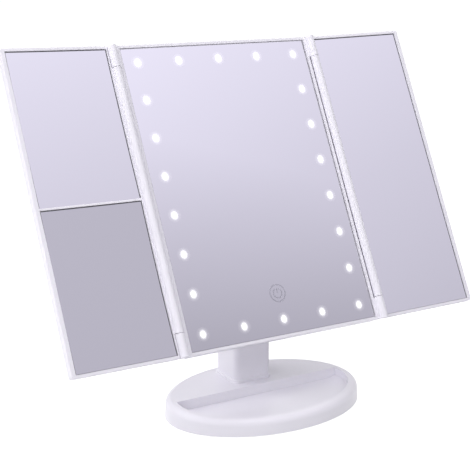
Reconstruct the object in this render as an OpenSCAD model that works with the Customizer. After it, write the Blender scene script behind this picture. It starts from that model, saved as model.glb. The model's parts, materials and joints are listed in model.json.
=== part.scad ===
// Trifold vanity mirror with lights round the middle glass, on an oval base with a tray.
// Millimetres. X to the right, Y to the back, Z up. The origin is the middle of the base's underside.
// The head (the three glasses) is drawn upright with its origin in the middle of the front face of
// the middle glass, then tipped back about the pivot on top of the post.

/* [Base] */
// Width of the oval base at its lower rim
base_w = 160.8; // [140:0.2:220]
// Depth of the oval base at its lower rim
base_d = 110.6; // [100:0.2:150]
// Height of the base shell in its middle
base_h = 13.8; // [13.2:0.1:22]
// Angle at which the top of the base rises towards the back
base_rise = 2; // [0:0.1:2]
// How much the wall of the base leans in towards the top
base_draft = 0.8; // [0.5:0.1:2.5]
// Radius of the soft top edge of the base
base_edge = 4; // [2:0.5:5]
// Thickness of the base shell
base_wall = 2; // [1.6:0.1:2.4]
// Height of the shell's lower rim above the table
rim_lift = 0.6; // [0.4:0.1:1]
// Thickness of the non-slip pad under the base
pad_t = 1; // [0.6:0.1:1.6]
// Thickness of the plate that closes the base
plate_t = 1.8; // [1.4:0.1:2.2]

/* [Tray] */
// Depth of the tray
tray_depth = 7.2; // [5:0.1:8]
// Width of the rim between the tray and the outer wall
tray_rim = 8; // [6:0.5:14]
// Distance between the tray's straight back wall and the post
tray_land = 8.4; // [8:0.1:18]
// Radius of the rolled front edge of the tray
tray_roll = 3; // [1:0.1:3]
// Width of the curve in which the floor rises to the front edge
tray_rise = 9; // [3:0.5:12]

/* [Post] */
// Width of the post
post_w = 32.6; // [30:0.2:44]
// Depth of the post
post_d = 30; // [24:0.5:31]
// Distance between the post and the rear edge of the base
post_margin = 10.6; // [9:0.1:14]
// Radius of the post's upright corners
post_corner = 4.5; // [2:0.5:6]
// Thickness of the post's wall
post_wall = 2.6; // [2.2:0.1:4]
// Height of the collar at the foot of the post
collar_h = 2.8; // [1:0.1:4]
// How far the collar stands out
collar_out = 1; // [0.5:0.1:2]

/* [Tilt hinge] */
// Height of the tilt pivot above the table
pivot_h = 125.2; // [124:0.2:150]
// Distance of the pivot behind the front of the middle glass
pivot_back = 28; // [27:0.5:34]
// Distance of the pivot below the middle of the glass
pivot_drop = 33.5; // [26:0.5:34]
// Angle that the head leans back
tilt = 27.9; // [10:0.1:45]
// Width of the tongue on top of the post
tongue_w = 17.4; // [14:0.2:18]
// Thickness of each ear on the back of the head
ear_t = 5.5; // [5:0.1:6]
// Radius of the round end of an ear
ear_r = 10; // [9:0.5:11]
// Diameter of the tilt bolt
bolt_d = 8; // [6:0.5:8]
// Thickness of a friction washer
washer_t = 1; // [0.6:0.1:1.4]

/* [Middle mirror] */
// Width of the middle glass
glass_w = 159.5; // [140:0.5:180]
// Height of all the glasses
glass_h = 227.8; // [210:0.2:260]
// Thickness of the middle glass
glass_t = 3; // [2:0.5:4]
// Gap between the middle glass and the rim beside it
side_gap = 1; // [0.3:0.1:1.2]
// Width of the frame's rim beside the middle glass
rim_side = 2.35; // [2.2:0.05:5]
// Width of the rims above and below the glasses
rim_end = 2.3; // [2:0.1:5]
// How far the rims stand proud of the glass
lip = 1; // [0.4:0.1:1.3]
// Radius of the outer corners of the frames
corner = 2; // [1.2:0.2:6]
// Thickness of the web that carries the glass
web_t = 1.6; // [1.2:0.1:2.4]
// Depth of the space for the boards behind the web
board_space = 4.2; // [3.6:0.1:8]
// Thickness of the rear cover
cover_t = 2; // [1.8:0.1:3]

/* [Lights] */
// Lights in the top row, and in the bottom row
lights_across = 5; // [3:1:7]
// Lights on each side between the corner lights
lights_beside = 6; // [4:1:9]
// Distance of the light rows from the sides of the glass
light_inset_x = 11.45; // [11:0.05:14]
// Distance of the light rows from the top and bottom of the glass
light_inset_z = 11.2; // [11:0.1:14]
// Diameter of a clear window in the glass
window_d = 6.6; // [5:0.1:8]
// Width of a light strip's board
strip_w = 8; // [7:0.1:8]
// Height of the touch button's middle above the bottom of the glass
touch_h = 30.9; // [26:0.1:40]
// Diameter of the touch button's pad behind the glass
touch_d = 12.2; // [8:0.1:16]

/* [Wing hinges] */
// Diameter of the hinge barrels
barrel_d = 6.6; // [6.4:0.1:8]
// Gap between the middle frame and a barrel
barrel_gap = 0.6; // [0.4:0.1:1.5]
// How far the hinge axes stand in front of the glass
hinge_proud = 1.75; // [1.7:0.05:3]
// Length of the fixed knuckle at each end of a hinge
knuckle_len = 17.2; // [12:0.1:24]
// Diameter of a hinge pin
pin_d = 3; // [2:0.1:3.2]
// Length of a hinge pin
pin_len = 26; // [22:0.5:40]

/* [Wings] */
// Angle that each wing is folded forwards
wing_fold = 3; // [0:0.5:60]
// Gap between the wings when both are folded shut
wing_gap = 2; // [1:0.1:6]
// Distance from a hinge axis to the glass of its wing
wing_strip = 4.6; // [4.5:0.1:7]
// Width of the rim at the outer edge of a wing
wing_rim = 3.2; // [2.4:0.1:6]
// Thickness of a wing's back wall
wing_back_t = 1.3; // [1:0.1:2]
// Thickness of the plain wing glass
wing_glass_t = 2; // [1.6:0.1:2.4]
// Thickness of the two magnifying glasses
dished_t = 1.6; // [1.4:0.1:2]
// Radius of curvature of the lower, stronger magnifying glass
lower_curve = 900; // [850:10:1400]
// Radius of curvature of the upper, weaker magnifying glass
upper_curve = 1500; // [1000:10:2500]
// Height of the bar between the two glasses above the middle
bar_z = -0.2; // [-20:0.1:20]
// Width of that bar
bar_w = 1.6; // [1.2:0.1:4]

/* [Battery box] */
// Width of the box on the back of the head
box_w = 96; // [94:1:110]
// Height of the box
box_h = 60; // [60:0.5:70]
// Depth of the box behind the rear cover
box_deep = 14; // [14:0.2:17]
// Height of the lower edge of the box above the pivot
box_rise = 16.5; // [16.5:0.1:22]
// Wall thickness of the box
box_wall = 2; // [1.8:0.1:2.2]
// Radius of the outer corners of the box
box_corner = 8; // [5:0.5:9]
// Radius of the back edges of the box
box_edge = 3; // [2:0.5:4]
// Number of battery cells
cells = 4; // [2:1:4]
// Diameter of a cell
cell_d = 10.5; // [10:0.1:10.5]
// Length of a cell with its tip
cell_len = 44.5; // [43:0.1:44.5]
// Width of the sliding battery door
door_w = 47.2; // [46.8:0.2:49]
// Thickness of the sliding battery door
door_t = 1.5; // [1.2:0.1:1.5]

/* [Hidden] */
$fn = 48;

// Colours
white = [0.93, 0.92, 0.95];
silver = [0.78, 0.77, 0.83];
steel = [0.62, 0.63, 0.65];
grey = [0.35, 0.35, 0.37];
board_white = [0.9, 0.92, 0.88];
board_green = [0.1, 0.35, 0.2];
glow = [1, 1, 0.97];

// Clearances
gap = 0.3;             // between pieces that lie beside each other
run_gap = 0.06;        // round a shaft that turns
snug_gap = 0.03;       // round a shaft that is held
screw_gap = 0.2;       // round a screw that passes through, and beyond its tip
skin = 0.4;            // left beyond the end of a screw hole
tape_t = 0.2;          // double-sided tape
past = 1;              // how far a cutter reaches past what it cuts
fuse = 0.3;            // how far a form reaches into the one that it is part of

// Base levels
rim_z = rim_lift;
top_z = rim_z + base_h;
plate_z = pad_t;
plate_top = plate_z + plate_t;
tray_z = top_z - tray_depth;
tray_under = tray_z - base_wall;
slope = tan(base_rise);
roof_z = top_z - base_wall;
pad_inset = 5;
shell_foot = 2.8;      // thickness of the shell's wall at its rim
cavity_lean = 1;       // how much the wall grows on its inside up to the tray
roof_lean = 1.4;       // and from there up to the roof behind the tray
weight_gap = 0.2;
weight_room = 0.7;     // between the ballast and what stands in it
weight_inset = 8;
plate_boss_r = 3.4;
boss_share = [0.3, 0.22];
plate_bite = 6;        // longest grip of a screw of the base plate
oval_steps = 72;

// Post
post_y = base_d / 2 - post_margin - post_d / 2;
post_front = post_y - post_d / 2;
post_rear = post_y + post_d / 2;
tray_back = post_front - tray_land;
seat_z = top_z + slope * (post_front - collar_out);
tenon_w = 21.4;
tenon_d = 13.4;
tenon_deep = 9.2;
tenon_screw_x = 6;
socket_wall = 2;
shoulder_drop = 16;    // from the pivot down to the post's shoulder
shoulder_z = pivot_h - shoulder_drop;
panel_w = 24;
panel_t = 2;
panel_foot = 12;       // from the collar up to the panel
panel_top = 10;        // from the panel up to the shoulder
panel_land = 8;        // solid land behind each end of the panel
panel_bite = 6.5;      // grip of a screw of the panel
pocket_side = 2;       // from a pocket's side to the panel's
panel_z0 = top_z + panel_foot;
panel_z1 = shoulder_z - panel_top;
panel_screw_z = [panel_z0 + panel_land / 2, panel_z1 - panel_land / 2];
post_ribs = 2;
post_rib_t = 2;

// Head
head_y = post_y - pivot_back * cos(tilt) + pivot_drop * sin(tilt);
head_z = pivot_h + pivot_back * sin(tilt) + pivot_drop * cos(tilt);
pocket_x = glass_w / 2 + side_gap;
pocket_z = glass_h / 2 + gap;
frame_x = pocket_x + rim_side;
frame_z = pocket_z + rim_end;
web_front = glass_t + tape_t;
web_back = web_front + web_t;
shell_back = web_back + board_space;
head_back = shell_back + cover_t;
lip_edge = 0.6;
cover_edge = 1.6;
back_edge = 0.2;       // edges of the seam between frame and cover
skirt_t = 1.4;
skirt_deep = 1.5;
strip_t = 1.2;
led_size = [3.5, 1.6, 2.8];
light_x = glass_w / 2 - light_inset_x;
light_z = glass_h / 2 - light_inset_z;
touch_z = -glass_h / 2 + touch_h;
touch_board = 20;
touch_board_t = 1;
tape_inset = 1;

// Frame screws
boss_r = 2.5;
boss_x = (light_x + strip_w / 2 + pocket_x - gap - skirt_t) / 2;
boss_z = (light_z + strip_w / 2 + pocket_z - gap - skirt_t) / 2;
screw_r = 1.2;
screw_head_r = 2.2;
screw_head_t = 1;

// Tilt hinge
bolt_r = bolt_d / 2;
ear_in = tongue_w / 2 + gap + washer_t;
ear_out = ear_in + ear_t;
nut_t = 3;
nut_r = bolt_r + 2.5;
cap_r = ear_r - 1.5;
cap_t = 0.8;
pivot_z = -pivot_drop;
ear_root = 12;

// Wing hinges
barrel_r = barrel_d / 2;
hinge_x = frame_x + barrel_gap + barrel_r;
knuckle_z = frame_z - knuckle_len;
barrel_z = knuckle_z - gap;
knuckle_cap = 2;
pin_end = 0.1;         // beyond the outer end of a pin
pin_room = 1;          // beyond its inner end
pin_top = frame_z - knuckle_cap - pin_end;
pin_end_z = pin_top - pin_len - pin_room;
hinge_web = 3;         // depth of the web that carries a barrel
web_rear = hinge_web - hinge_proud;
web_lead = 0.15;       // how far the web reaches in front of the hinge axis
web_root = 1;          // how far it reaches into its frame
cove_gap = 0.4;
cove_x = hinge_x + 0.8;
cove_front = barrel_r * 0.7 - hinge_proud;

// Wings
wing_in = cove_x + 0.4;
wing_out = 2 * hinge_x - wing_gap / 2;
wing_pocket0 = hinge_x + wing_strip - gap;
wing_pocket1 = wing_out - wing_rim;
wing_glass0 = wing_pocket0 + gap;
wing_glass1 = wing_pocket1 - gap;
wing_mid = (wing_glass0 + wing_glass1) / 2;
wing_gx = (wing_glass1 - wing_glass0) / 2;
lower_z0 = -glass_h / 2;
lower_z1 = bar_z - bar_w / 2 - gap;
upper_z0 = bar_z + bar_w / 2 + gap;
upper_z1 = glass_h / 2;
lower_gz = (lower_z1 - lower_z0) / 2;
upper_gz = (upper_z1 - upper_z0) / 2;
lower_sag = sag(norm([wing_gx, lower_gz]), lower_curve);
upper_sag = sag(norm([wing_gx, upper_gz]), upper_curve);
wing_floor = max(lower_sag, upper_sag) + dished_t + tape_t;
wing_back = wing_floor + wing_back_t;
cove_back = wing_back;
wing_edge = 1.2;
rest_size = 5;
rest_gap = 0.1;        // between a rest and the back of its glass
foam_gap = 0.02;
foam_half = 14;
wing_rib = 1.2;
bar_front = -lip + 0.4;

// Battery box
box_x = box_w / 2;
box_z0 = pivot_z + box_rise;
box_z1 = box_z0 + box_h;
box_mid = (box_z0 + box_z1) / 2;
box_back = head_back + box_deep;
bay_foot = 4;
bay_head = 3.5;
bay_z0 = box_z0 + bay_foot;
bay_z1 = box_z1 - bay_head;
door_x = door_w / 2;
door_front = box_back - door_t - gap;
flange_t = 1;
flange_out = 1.8;
flange_back = door_front - flange_t - gap;
door_z0 = bay_z0 - 0.4;
bay_x = door_x + flange_out + 2 * gap;
bay_wall = 1.6;
ledge_t = 1.4;
ledge_w = 1.4;
wall_end = 1;          // how far a wall stays inside the box's outer face
cell_pitch = cell_d + 0.4;
cell_tip = 1;
cell_tip_r = 1.9;
cell_y = head_back + 0.2 + cell_d / 2;
cell_mid = (bay_z0 + bay_z1) / 2;
contact_t = 0.5;
contact_w = 8;
spring_r1 = 3.4;
spring_r2 = 2;
grip_w = 18;
grip_drop = 8;         // from the top of the box to the first rib of the grip
grip_ribs = 5;
grip_pitch = 2;
grip_t = 0.9;
grip_h = 0.5;
board_w = 17;
board_h = 44;
board_t = 1.2;
board_x = bay_x + bay_wall + 1;
board_y = head_back + 1.5;
board_face = board_y + board_t;
board_mid = board_x + board_w / 2;
standoff_r = 1.6;
standoff_in = 2.5;
standoff_z = board_h / 2 - standoff_in;
chip_w = 7;
chip_h = 1.6;
plug_w = 10;
plug_t = 5;
can_r = 2.5;
can_h = 6;
wire_w = 8;
wire_h = 3;
wire_z = box_z0 + 4;
usb_w = 7.6;
usb_t = 2.7;
usb_len = 5.6;
usb_drop = 8;          // from the middle of the box down to the socket
usb_z = box_mid - usb_drop;
usb_shell = 0.35;
usb_inset = 0.4;       // how far the mouth lies inside the box's wall
blade_t = 0.6;
blade_w = 4.8;

// ---------- helpers ----------

// Depth of a spherical dish of radius c at distance r from its middle
function sag(r, c) = c - sqrt(c * c - r * r);

// Points on a round stretch
function arc(c, r, a0, a1, n) = [
    for (i = [0:n]) c + r * [cos(a0 + (a1 - a0) * i / n), sin(a0 + (a1 - a0) * i / n)]
];

// Rectangle with round corners, centred
function round_rect(hx, hy, r, n = 5) = concat(
    arc([hx - r, hy - r], r, 0, 90, n),
    arc([r - hx, hy - r], r, 90, 180, n),
    arc([r - hx, r - hy], r, 180, 270, n),
    arc([hx - r, r - hy], r, 270, 360, n)
);

// Section of a flat shell from front to back, with its front and back edges rounded
function edge_section(hx, front, back, rf, rb) = concat(
    arc([hx - rb, back - rb], rb, 0, 90, 4),
    arc([rb - hx, back - rb], rb, 90, 180, 4),
    arc([rf - hx, front + rf], rf, 180, 270, 2),
    arc([hx - rf, front + rf], rf, 270, 360, 2)
);

function swapped(points) = [for (p = points) [p[1], p[0]]];

// Flat shell with round corners and soft edges, centred in x and z, from front to back in y
module slab(hx, hz, r, front, back, rf, rb) {
    intersection() {
        translate([0, back, 0])
            rotate([90, 0, 0])
                linear_extrude(back - front)
                    polygon(round_rect(hx, hz, r));
        translate([0, 0, -hz])
            linear_extrude(2 * hz)
                polygon(edge_section(hx, front, back, rf, rb));
        translate([-hx, 0, 0])
            rotate([90, 0, 90])
                linear_extrude(2 * hx)
                    polygon(swapped(edge_section(hz, front, back, rf, rb)));
    }
}

// Box between two corners
module span(a, b) {
    translate(a)
        cube(b - a);
}

// Round bar along y, from y0 to y1
module rod_y(x, z, y0, y1, r) {
    translate([x, y0, z])
        rotate([-90, 0, 0])
            cylinder(h = y1 - y0, r = r);
}

// Round bar along x, from x0 to x1, at y and z
module rod_x(y, z, x0, x1, r) {
    translate([x0, y, z])
        rotate([0, 90, 0])
            cylinder(h = x1 - x0, r = r);
}

// Screw with its head at the origin and its shank along +z
module screw(len, r = screw_r, head_r = screw_head_r, head_t = screw_head_t) {
    slot = head_r * 1.1;
    slot_w = 0.6;
    difference() {
        union() {
            cylinder(h = head_t, r = head_r);
            translate([0, 0, head_t - fuse])
                cylinder(h = len + fuse, r = r);
        }
        for (turn = [0, 90])
            rotate([0, 0, turn])
                translate([-slot / 2, -slot_w / 2, -past])
                    cube([slot, slot_w, past + head_t / 2]);
    }
}

// Solid skinned over rings of equal count, from the lowest ring to the highest
module loft(rings) {
    n = len(rings[0]);
    m = len(rings);
    polyhedron(
        points = [for (ring = rings) each ring],
        faces = concat(
            [[for (i = [0:n - 1]) i]],
            [for (j = [0:m - 2], i = [0:n - 1])
                [j * n + i, (j + 1) * n + i, j * n + (i + 1) % n]],
            [for (j = [0:m - 2], i = [0:n - 1])
                [(j + 1) * n + i, (j + 1) * n + (i + 1) % n, j * n + (i + 1) % n]],
            [[for (i = [n - 1:-1:0]) (m - 1) * n + i]]
        )
    );
}

// Oval ring of the base, drawn in by an inset
function oval(inset, z) = [
    for (i = [0:oval_steps - 1])
        let (a = 360 * i / oval_steps)
        [(base_w / 2 - inset) * cos(a), (base_d / 2 - inset) * sin(a), z]
];

// Part of the oval in front of the line y = back (side -1) or behind it (side 1)
function half_oval(inset, back, side, z, n = 48) =
    let (
        a = base_w / 2 - inset,
        b = base_d / 2 - inset,
        edge = asin(back / b),
        from = side < 0 ? 180 - edge : edge,
        to = side < 0 ? 360 + edge : 180 - edge
    )
    [for (i = [0:n]) [a * cos(from + (to - from) * i / n), b * sin(from + (to - from) * i / n), z]];

// Ring tipped up towards the back by a share of the top's slope
function tipped(ring, share) = [for (p = ring) [p[0], p[1], p[2] + share * slope * p[1]]];

// Oval plate between two heights
module oval_plate(inset, z0, z1) {
    translate([0, 0, z0])
        linear_extrude(z1 - z0)
            polygon([for (p = oval(inset, 0)) [p[0], p[1]]]);
}

module in_head() {
    translate([0, head_y, head_z])
        rotate([-tilt, 0, 0])
            children();
}

// The wings are drawn to the right and flat, then folded forwards about their hinge
module in_right_wing() {
    in_head()
        translate([hinge_x, -hinge_proud, 0])
            rotate([0, 0, -wing_fold])
                translate([-hinge_x, hinge_proud, 0])
                    children();
}

module in_left_wing() {
    in_head()
        mirror([1, 0, 0])
            translate([hinge_x, -hinge_proud, 0])
                rotate([0, 0, -wing_fold])
                    translate([-hinge_x, hinge_proud, 0])
                        children();
}

// Places of the lights round the middle glass
light_places = concat(
    [for (s = [-1, 1], i = [0:lights_across - 1])
        [-light_x + 2 * light_x * i / (lights_across - 1), s * light_z]],
    [for (s = [-1, 1], i = [1:lights_beside])
        [s * light_x, -light_z + 2 * light_z * i / (lights_beside + 1)]]
);
boss_places = [for (sx = [-1, 1], sz = [-1, 0, 1]) [sx * boss_x, sz * boss_z]];
// Screws of the base plate, at these shares of the oval's width and depth
plate_bosses = [for (sx = [-1, 1], sy = [-1, 1]) [sx * base_w * boss_share[0], sy * base_d * boss_share[1]]];
tenon_screws = [for (s = [-1, 1]) [s * tenon_screw_x, post_y]];

// ---------- base ----------

// How far the inner face of the shell's wall lies inside the rim's oval at a height
function cavity_inset(z) = shell_foot + cavity_lean * (z - rim_z + past) / (tray_under - rim_z + past);

// Top of the boss that takes a screw of the base plate
function boss_top(p) = p[1] > 0 ? roof_z : tray_under;

// Upright block round the post's tenon
module tenon_block(wall, z0, z1) {
    hx = tenon_w / 2 + gap + wall;
    hy = tenon_d / 2 + gap + wall;
    span([-hx, post_y - hy, z0], [hx, post_y + hy, z1]);
}

module base_pad() {
    color(grey)
        oval_plate(pad_inset, 0, pad_t);
}

module base_plate() {
    color(white)
        difference() {
            oval_plate(cavity_inset(plate_top) + gap, plate_z, plate_top);
            for (p = concat(plate_bosses, tenon_screws))
                translate([p[0], p[1], plate_z - past]) {
                    cylinder(h = plate_t + 2 * past, r = screw_r + screw_gap);
                    cylinder(h = past + screw_head_t, r = screw_head_r + screw_gap);
                }
        }
}

module base_weight() {
    color(steel)
        difference() {
            oval_plate(weight_inset, plate_top, tray_under - weight_gap);
            for (p = plate_bosses)
                translate([p[0], p[1], plate_top - past])
                    cylinder(h = base_h, r = plate_boss_r + weight_room);
            tenon_block(socket_wall + weight_room, plate_top - past, top_z);
        }
}

module tray_cut() {
    back_draft = 1;
    soft = 0.3;
    wall_h = tray_depth - tray_roll;
    roll = [for (a = [0:22.5:90]) [top_z - tray_roll * (1 - cos(a)), -tray_roll * (1 - sin(a))]];
    bowl = [for (a = [15:15:90]) [tray_z + wall_h * (1 - sin(a)), tray_rise * (1 - cos(a))]];
    levels = concat([[top_z + past, -tray_roll]], roll, bowl);
    // share of the top's slope at a height
    function share(z) = min(1, (z - tray_z) / tray_depth);
    // how far the back wall has leant in at a height
    function lean_in(z) = z >= top_z ? -soft : back_draft * (top_z - z) / tray_depth;
    loft([
        for (i = [len(levels) - 1:-1:0])
            tipped(half_oval(tray_rim + levels[i][1], tray_back - lean_in(levels[i][0]), -1, levels[i][0]),
                share(levels[i][0]))
    ]);
}

module base_shell() {
    edge = [for (a = [0:18:90]) [top_z - base_edge * (1 - sin(a)), base_draft + base_edge * (1 - cos(a))]];
    cavity = shell_foot + cavity_lean;
    color(white)
        difference() {
            union() {
                difference() {
                    loft(concat([oval(0, rim_z)], [for (p = edge) tipped(oval(p[1], p[0]), 1)]));
                    loft([oval(shell_foot, rim_z - past), oval(cavity, tray_under)]);
                    loft([
                        half_oval(cavity, tray_back + base_wall, 1, tray_under - past),
                        half_oval(cavity + roof_lean, tray_back + base_wall, 1, roof_z)
                    ]);
                }
                for (p = plate_bosses)
                    translate([p[0], p[1], plate_top])
                        cylinder(h = boss_top(p) - plate_top + fuse, r = plate_boss_r);
                tenon_block(socket_wall, plate_top + gap, roof_z + fuse);
            }
            tray_cut();
            tenon_block(0, rim_z - past, top_z + past);
            // level seat of the post
            post_section(collar_out + gap, seat_z, seat_z + collar_h + past);
            for (p = plate_bosses)
                translate([p[0], p[1], plate_top - past])
                    cylinder(h = past + boss_top(p) - plate_top - skin, r = screw_r + snug_gap);
        }
}

module base_screws() {
    color(steel)
        for (p = plate_bosses)
            translate([p[0], p[1], plate_z])
                screw(plate_t - screw_head_t + min(plate_bite, boss_top(p) - plate_top - skin - screw_gap));
}

module post_screws() {
    color(steel)
        for (p = tenon_screws)
            translate([p[0], p[1], plate_z])
                screw(seat_z - plate_z - screw_head_t);
}

// ---------- post ----------

module post_section(out, z0, z1) {
    translate([0, post_y, z0])
        linear_extrude(z1 - z0)
            polygon(round_rect(post_w / 2 + out, post_d / 2 + out, post_corner + out));
}

module post() {
    tongue = concat(
        [[-post_d / 2, -shoulder_drop - fuse]],
        arc([0, 0], post_d / 2, 180, 0, 18),
        [[post_d / 2, -shoulder_drop - fuse]]
    );
    hollow_z0 = panel_z0 + panel_land;
    hollow_z1 = panel_z1 - panel_land;
    pocket_h = (hollow_z1 - hollow_z0 - post_ribs * post_rib_t) / (post_ribs + 1);
    pocket_w = panel_w - 2 * pocket_side;
    color(white)
        difference() {
            union() {
                post_section(0, seat_z, shoulder_z);
                post_section(collar_out, seat_z, seat_z + collar_h);
                translate([-tenon_w / 2, post_y - tenon_d / 2, seat_z - tenon_deep])
                    cube([tenon_w, tenon_d, tenon_deep + fuse]);
                translate([-tongue_w / 2, post_y, pivot_h])
                    rotate([90, 0, 90])
                        linear_extrude(tongue_w)
                            polygon(tongue);
            }
            // pockets between the ribs, open to the back
            for (i = [0:post_ribs])
                translate([-pocket_w / 2, post_front + post_wall, hollow_z0 + i * (pocket_h + post_rib_t)])
                    cube([pocket_w, post_d, pocket_h]);
            // seat of the rear panel
            translate([-panel_w / 2 - gap, post_rear - panel_t, panel_z0 - gap])
                cube([panel_w + 2 * gap, panel_t + past, panel_z1 - panel_z0 + 2 * gap]);
            rod_x(post_y, pivot_h, -tongue_w, tongue_w, bolt_r + run_gap);
            for (p = tenon_screws)
                translate([p[0], p[1], seat_z - tenon_deep - past])
                    cylinder(h = tenon_deep + past + screw_gap, r = screw_r + snug_gap);
            for (z = panel_screw_z)
                rod_y(0, z, post_rear - panel_t - panel_bite - screw_gap, post_rear, screw_r + snug_gap);
        }
}

module post_panel() {
    color(white)
        difference() {
            translate([-panel_w / 2, post_rear - panel_t, panel_z0])
                cube([panel_w, panel_t, panel_z1 - panel_z0]);
            for (z = panel_screw_z) {
                rod_y(0, z, post_rear - panel_t - past, post_rear + past, screw_r + screw_gap);
                rod_y(0, z, post_rear - screw_head_t, post_rear + past, screw_head_r + screw_gap);
            }
        }
}

module panel_screws() {
    color(steel)
        for (z = panel_screw_z)
            translate([0, post_rear, z])
                rotate([90, 0, 0])
                    screw(panel_t - screw_head_t + panel_bite);
}

// ---------- tilt hinge ----------

module tilt_bolt() {
    color(steel)
        in_head() {
            rod_x(pivot_back, pivot_z, screw_gap - ear_out, ear_out - screw_gap, bolt_r);
            translate([nut_t - ear_out, pivot_back, pivot_z])
                rotate([0, -90, 0])
                    cylinder(h = nut_t - screw_gap, r = nut_r, $fn = 6);
        }
}

module tilt_nut() {
    color(steel)
        in_head()
            difference() {
                translate([ear_out - nut_t, pivot_back, pivot_z])
                    rotate([0, 90, 0])
                        cylinder(h = nut_t - 2 * screw_gap, r = nut_r, $fn = 6);
                rod_x(pivot_back, pivot_z, ear_in, ear_out + past, bolt_r + snug_gap);
            }
}

module friction_washers() {
    color(grey)
        in_head()
            for (x0 = [-ear_in, ear_in - washer_t])
                difference() {
                    rod_x(pivot_back, pivot_z, x0, x0 + washer_t, cap_r);
                    rod_x(pivot_back, pivot_z, x0 - past, x0 + washer_t + past, bolt_r + screw_gap);
                }
}

module hinge_caps() {
    color(white)
        in_head()
            for (x0 = [-ear_out - cap_t, ear_out])
                rod_x(pivot_back, pivot_z, x0, x0 + cap_t, cap_r);
}

// ---------- back of the head ----------

module ear(s) {
    side = [
        [head_back - fuse, pivot_z - ear_root],
        [pivot_back, pivot_z - ear_r + gap],
        [pivot_back, pivot_z + ear_r - gap],
        [(head_back + pivot_back) / 2, pivot_z + ear_root],
        [head_back - fuse, pivot_z + ear_root + cover_t]
    ];
    x0 = s > 0 ? ear_in : -ear_out;
    translate([x0, 0, 0])
        rotate([90, 0, 90])
            linear_extrude(ear_t)
                polygon(side);
    rod_x(pivot_back, pivot_z, x0, x0 + ear_t, ear_r);
}

module box_outside() {
    translate([0, 0, box_mid])
        slab(box_x, box_h / 2, box_corner, shell_back + fuse, box_back, fuse, box_edge);
}

module rear_cover() {
    skirt_x = pocket_x - gap;
    skirt_z = pocket_z - gap;
    inner_x = box_x - box_wall;
    inner_back = box_back - box_wall;
    color(white)
        in_head()
            difference() {
                union() {
                    slab(frame_x, frame_z, corner, shell_back, head_back, back_edge, cover_edge);
                    // skirt inside the frame's rim
                    difference() {
                        span([-skirt_x, shell_back - skirt_deep, -skirt_z],
                            [skirt_x, shell_back + fuse, skirt_z]);
                        span([skirt_t - skirt_x, shell_back - 2 * skirt_deep, skirt_t - skirt_z],
                            [skirt_x - skirt_t, shell_back, skirt_z - skirt_t]);
                    }
                    difference() {
                        box_outside();
                        span([-inner_x, head_back, box_z0 + box_wall],
                            [inner_x, inner_back, box_z1 - box_wall]);
                    }
                    // walls and ledges of the battery bay
                    for (s = [-1, 1]) {
                        wall0 = s > 0 ? bay_x : -bay_x - bay_wall;
                        ledge0 = s > 0 ? bay_x - ledge_w : -bay_x;
                        span([wall0, head_back - fuse, box_z0 + wall_end],
                            [wall0 + bay_wall, inner_back + fuse, box_z1 - wall_end]);
                        span([ledge0, flange_back - ledge_t, box_z0 + wall_end],
                            [ledge0 + ledge_w, flange_back, box_z1 - wall_end]);
                    }
                    span([-bay_x - fuse, head_back - fuse, box_z0 + wall_end],
                        [bay_x + fuse, inner_back + fuse, bay_z0]);
                    span([-bay_x - fuse, head_back - fuse, bay_z1],
                        [bay_x + fuse, flange_back, box_z1 - wall_end]);
                    // standoffs of the control board
                    for (x = [board_x + standoff_in, board_x + board_w - standoff_in], s = [-1, 1])
                        rod_y(x, box_mid + s * standoff_z, head_back - fuse, board_y, standoff_r);
                    for (s = [-1, 1])
                        ear(s);
                }
                // the door's opening and its way out at the top
                span([-door_x - gap, flange_back, door_z0 - gap],
                    [door_x + gap, box_back + past, box_z1 + past]);
                span([-bay_x, flange_back, bay_z0], [bay_x, door_front + gap, box_z1 + past]);
                // mouth of the USB socket
                span([inner_x - past, board_face - gap, usb_z - usb_w / 2 - gap],
                    [box_x + past, board_face + usb_t + gap, usb_z + usb_w / 2 + gap]);
                // way through for the wires
                span([board_mid - wire_w / 2, shell_back - past, wire_z],
                    [board_mid + wire_w / 2, head_back + past, wire_z + wire_h]);
                for (p = boss_places) {
                    rod_y(p[0], p[1], shell_back - past, head_back + past, screw_r + screw_gap);
                    rod_y(p[0], p[1], head_back - screw_head_t, head_back + past, screw_head_r + screw_gap);
                }
                rod_x(pivot_back, pivot_z, -ear_out - past, ear_out + past, bolt_r + snug_gap);
                for (s = [-1, 1])
                    translate([s * (ear_out - nut_t), pivot_back, pivot_z])
                        rotate([0, s * 90, 0])
                            cylinder(h = nut_t + past, r = nut_r + screw_gap, $fn = 6);
            }
}

module rear_screws() {
    color(steel)
        in_head()
            for (p = boss_places)
                translate([p[0], head_back, p[1]])
                    rotate([90, 0, 0])
                        screw(head_back - screw_head_t - web_back - skin - screw_gap);
}

function cell_x(i) = (i - (cells - 1) / 2) * cell_pitch;

module battery_cells() {
    color(grey)
        in_head()
            for (i = [0:cells - 1])
                translate([cell_x(i), cell_y, cell_mid])
                    rotate([i % 2 * 180, 0, 0])
                        translate([0, 0, -cell_len / 2]) {
                            cylinder(h = cell_len - cell_tip, r = cell_d / 2);
                            cylinder(h = cell_len, r = cell_tip_r);
                        }
}

module battery_contacts() {
    spring_len = (bay_z1 - bay_z0 - cell_len) / 2 - contact_t;
    color(steel)
        in_head()
            for (i = [0:cells - 1], s = [-1, 1])
                translate([cell_x(i), cell_y, s > 0 ? bay_z1 : bay_z0])
                    rotate([s > 0 ? 180 : 0, 0, 0]) {
                        translate([-contact_w / 2, -contact_w / 2, 0])
                            cube([contact_w, contact_w, contact_t]);
                        translate([0, 0, contact_t - fuse])
                            cylinder(h = spring_len + fuse, r1 = spring_r1, r2 = spring_r2);
                    }
}

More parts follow.
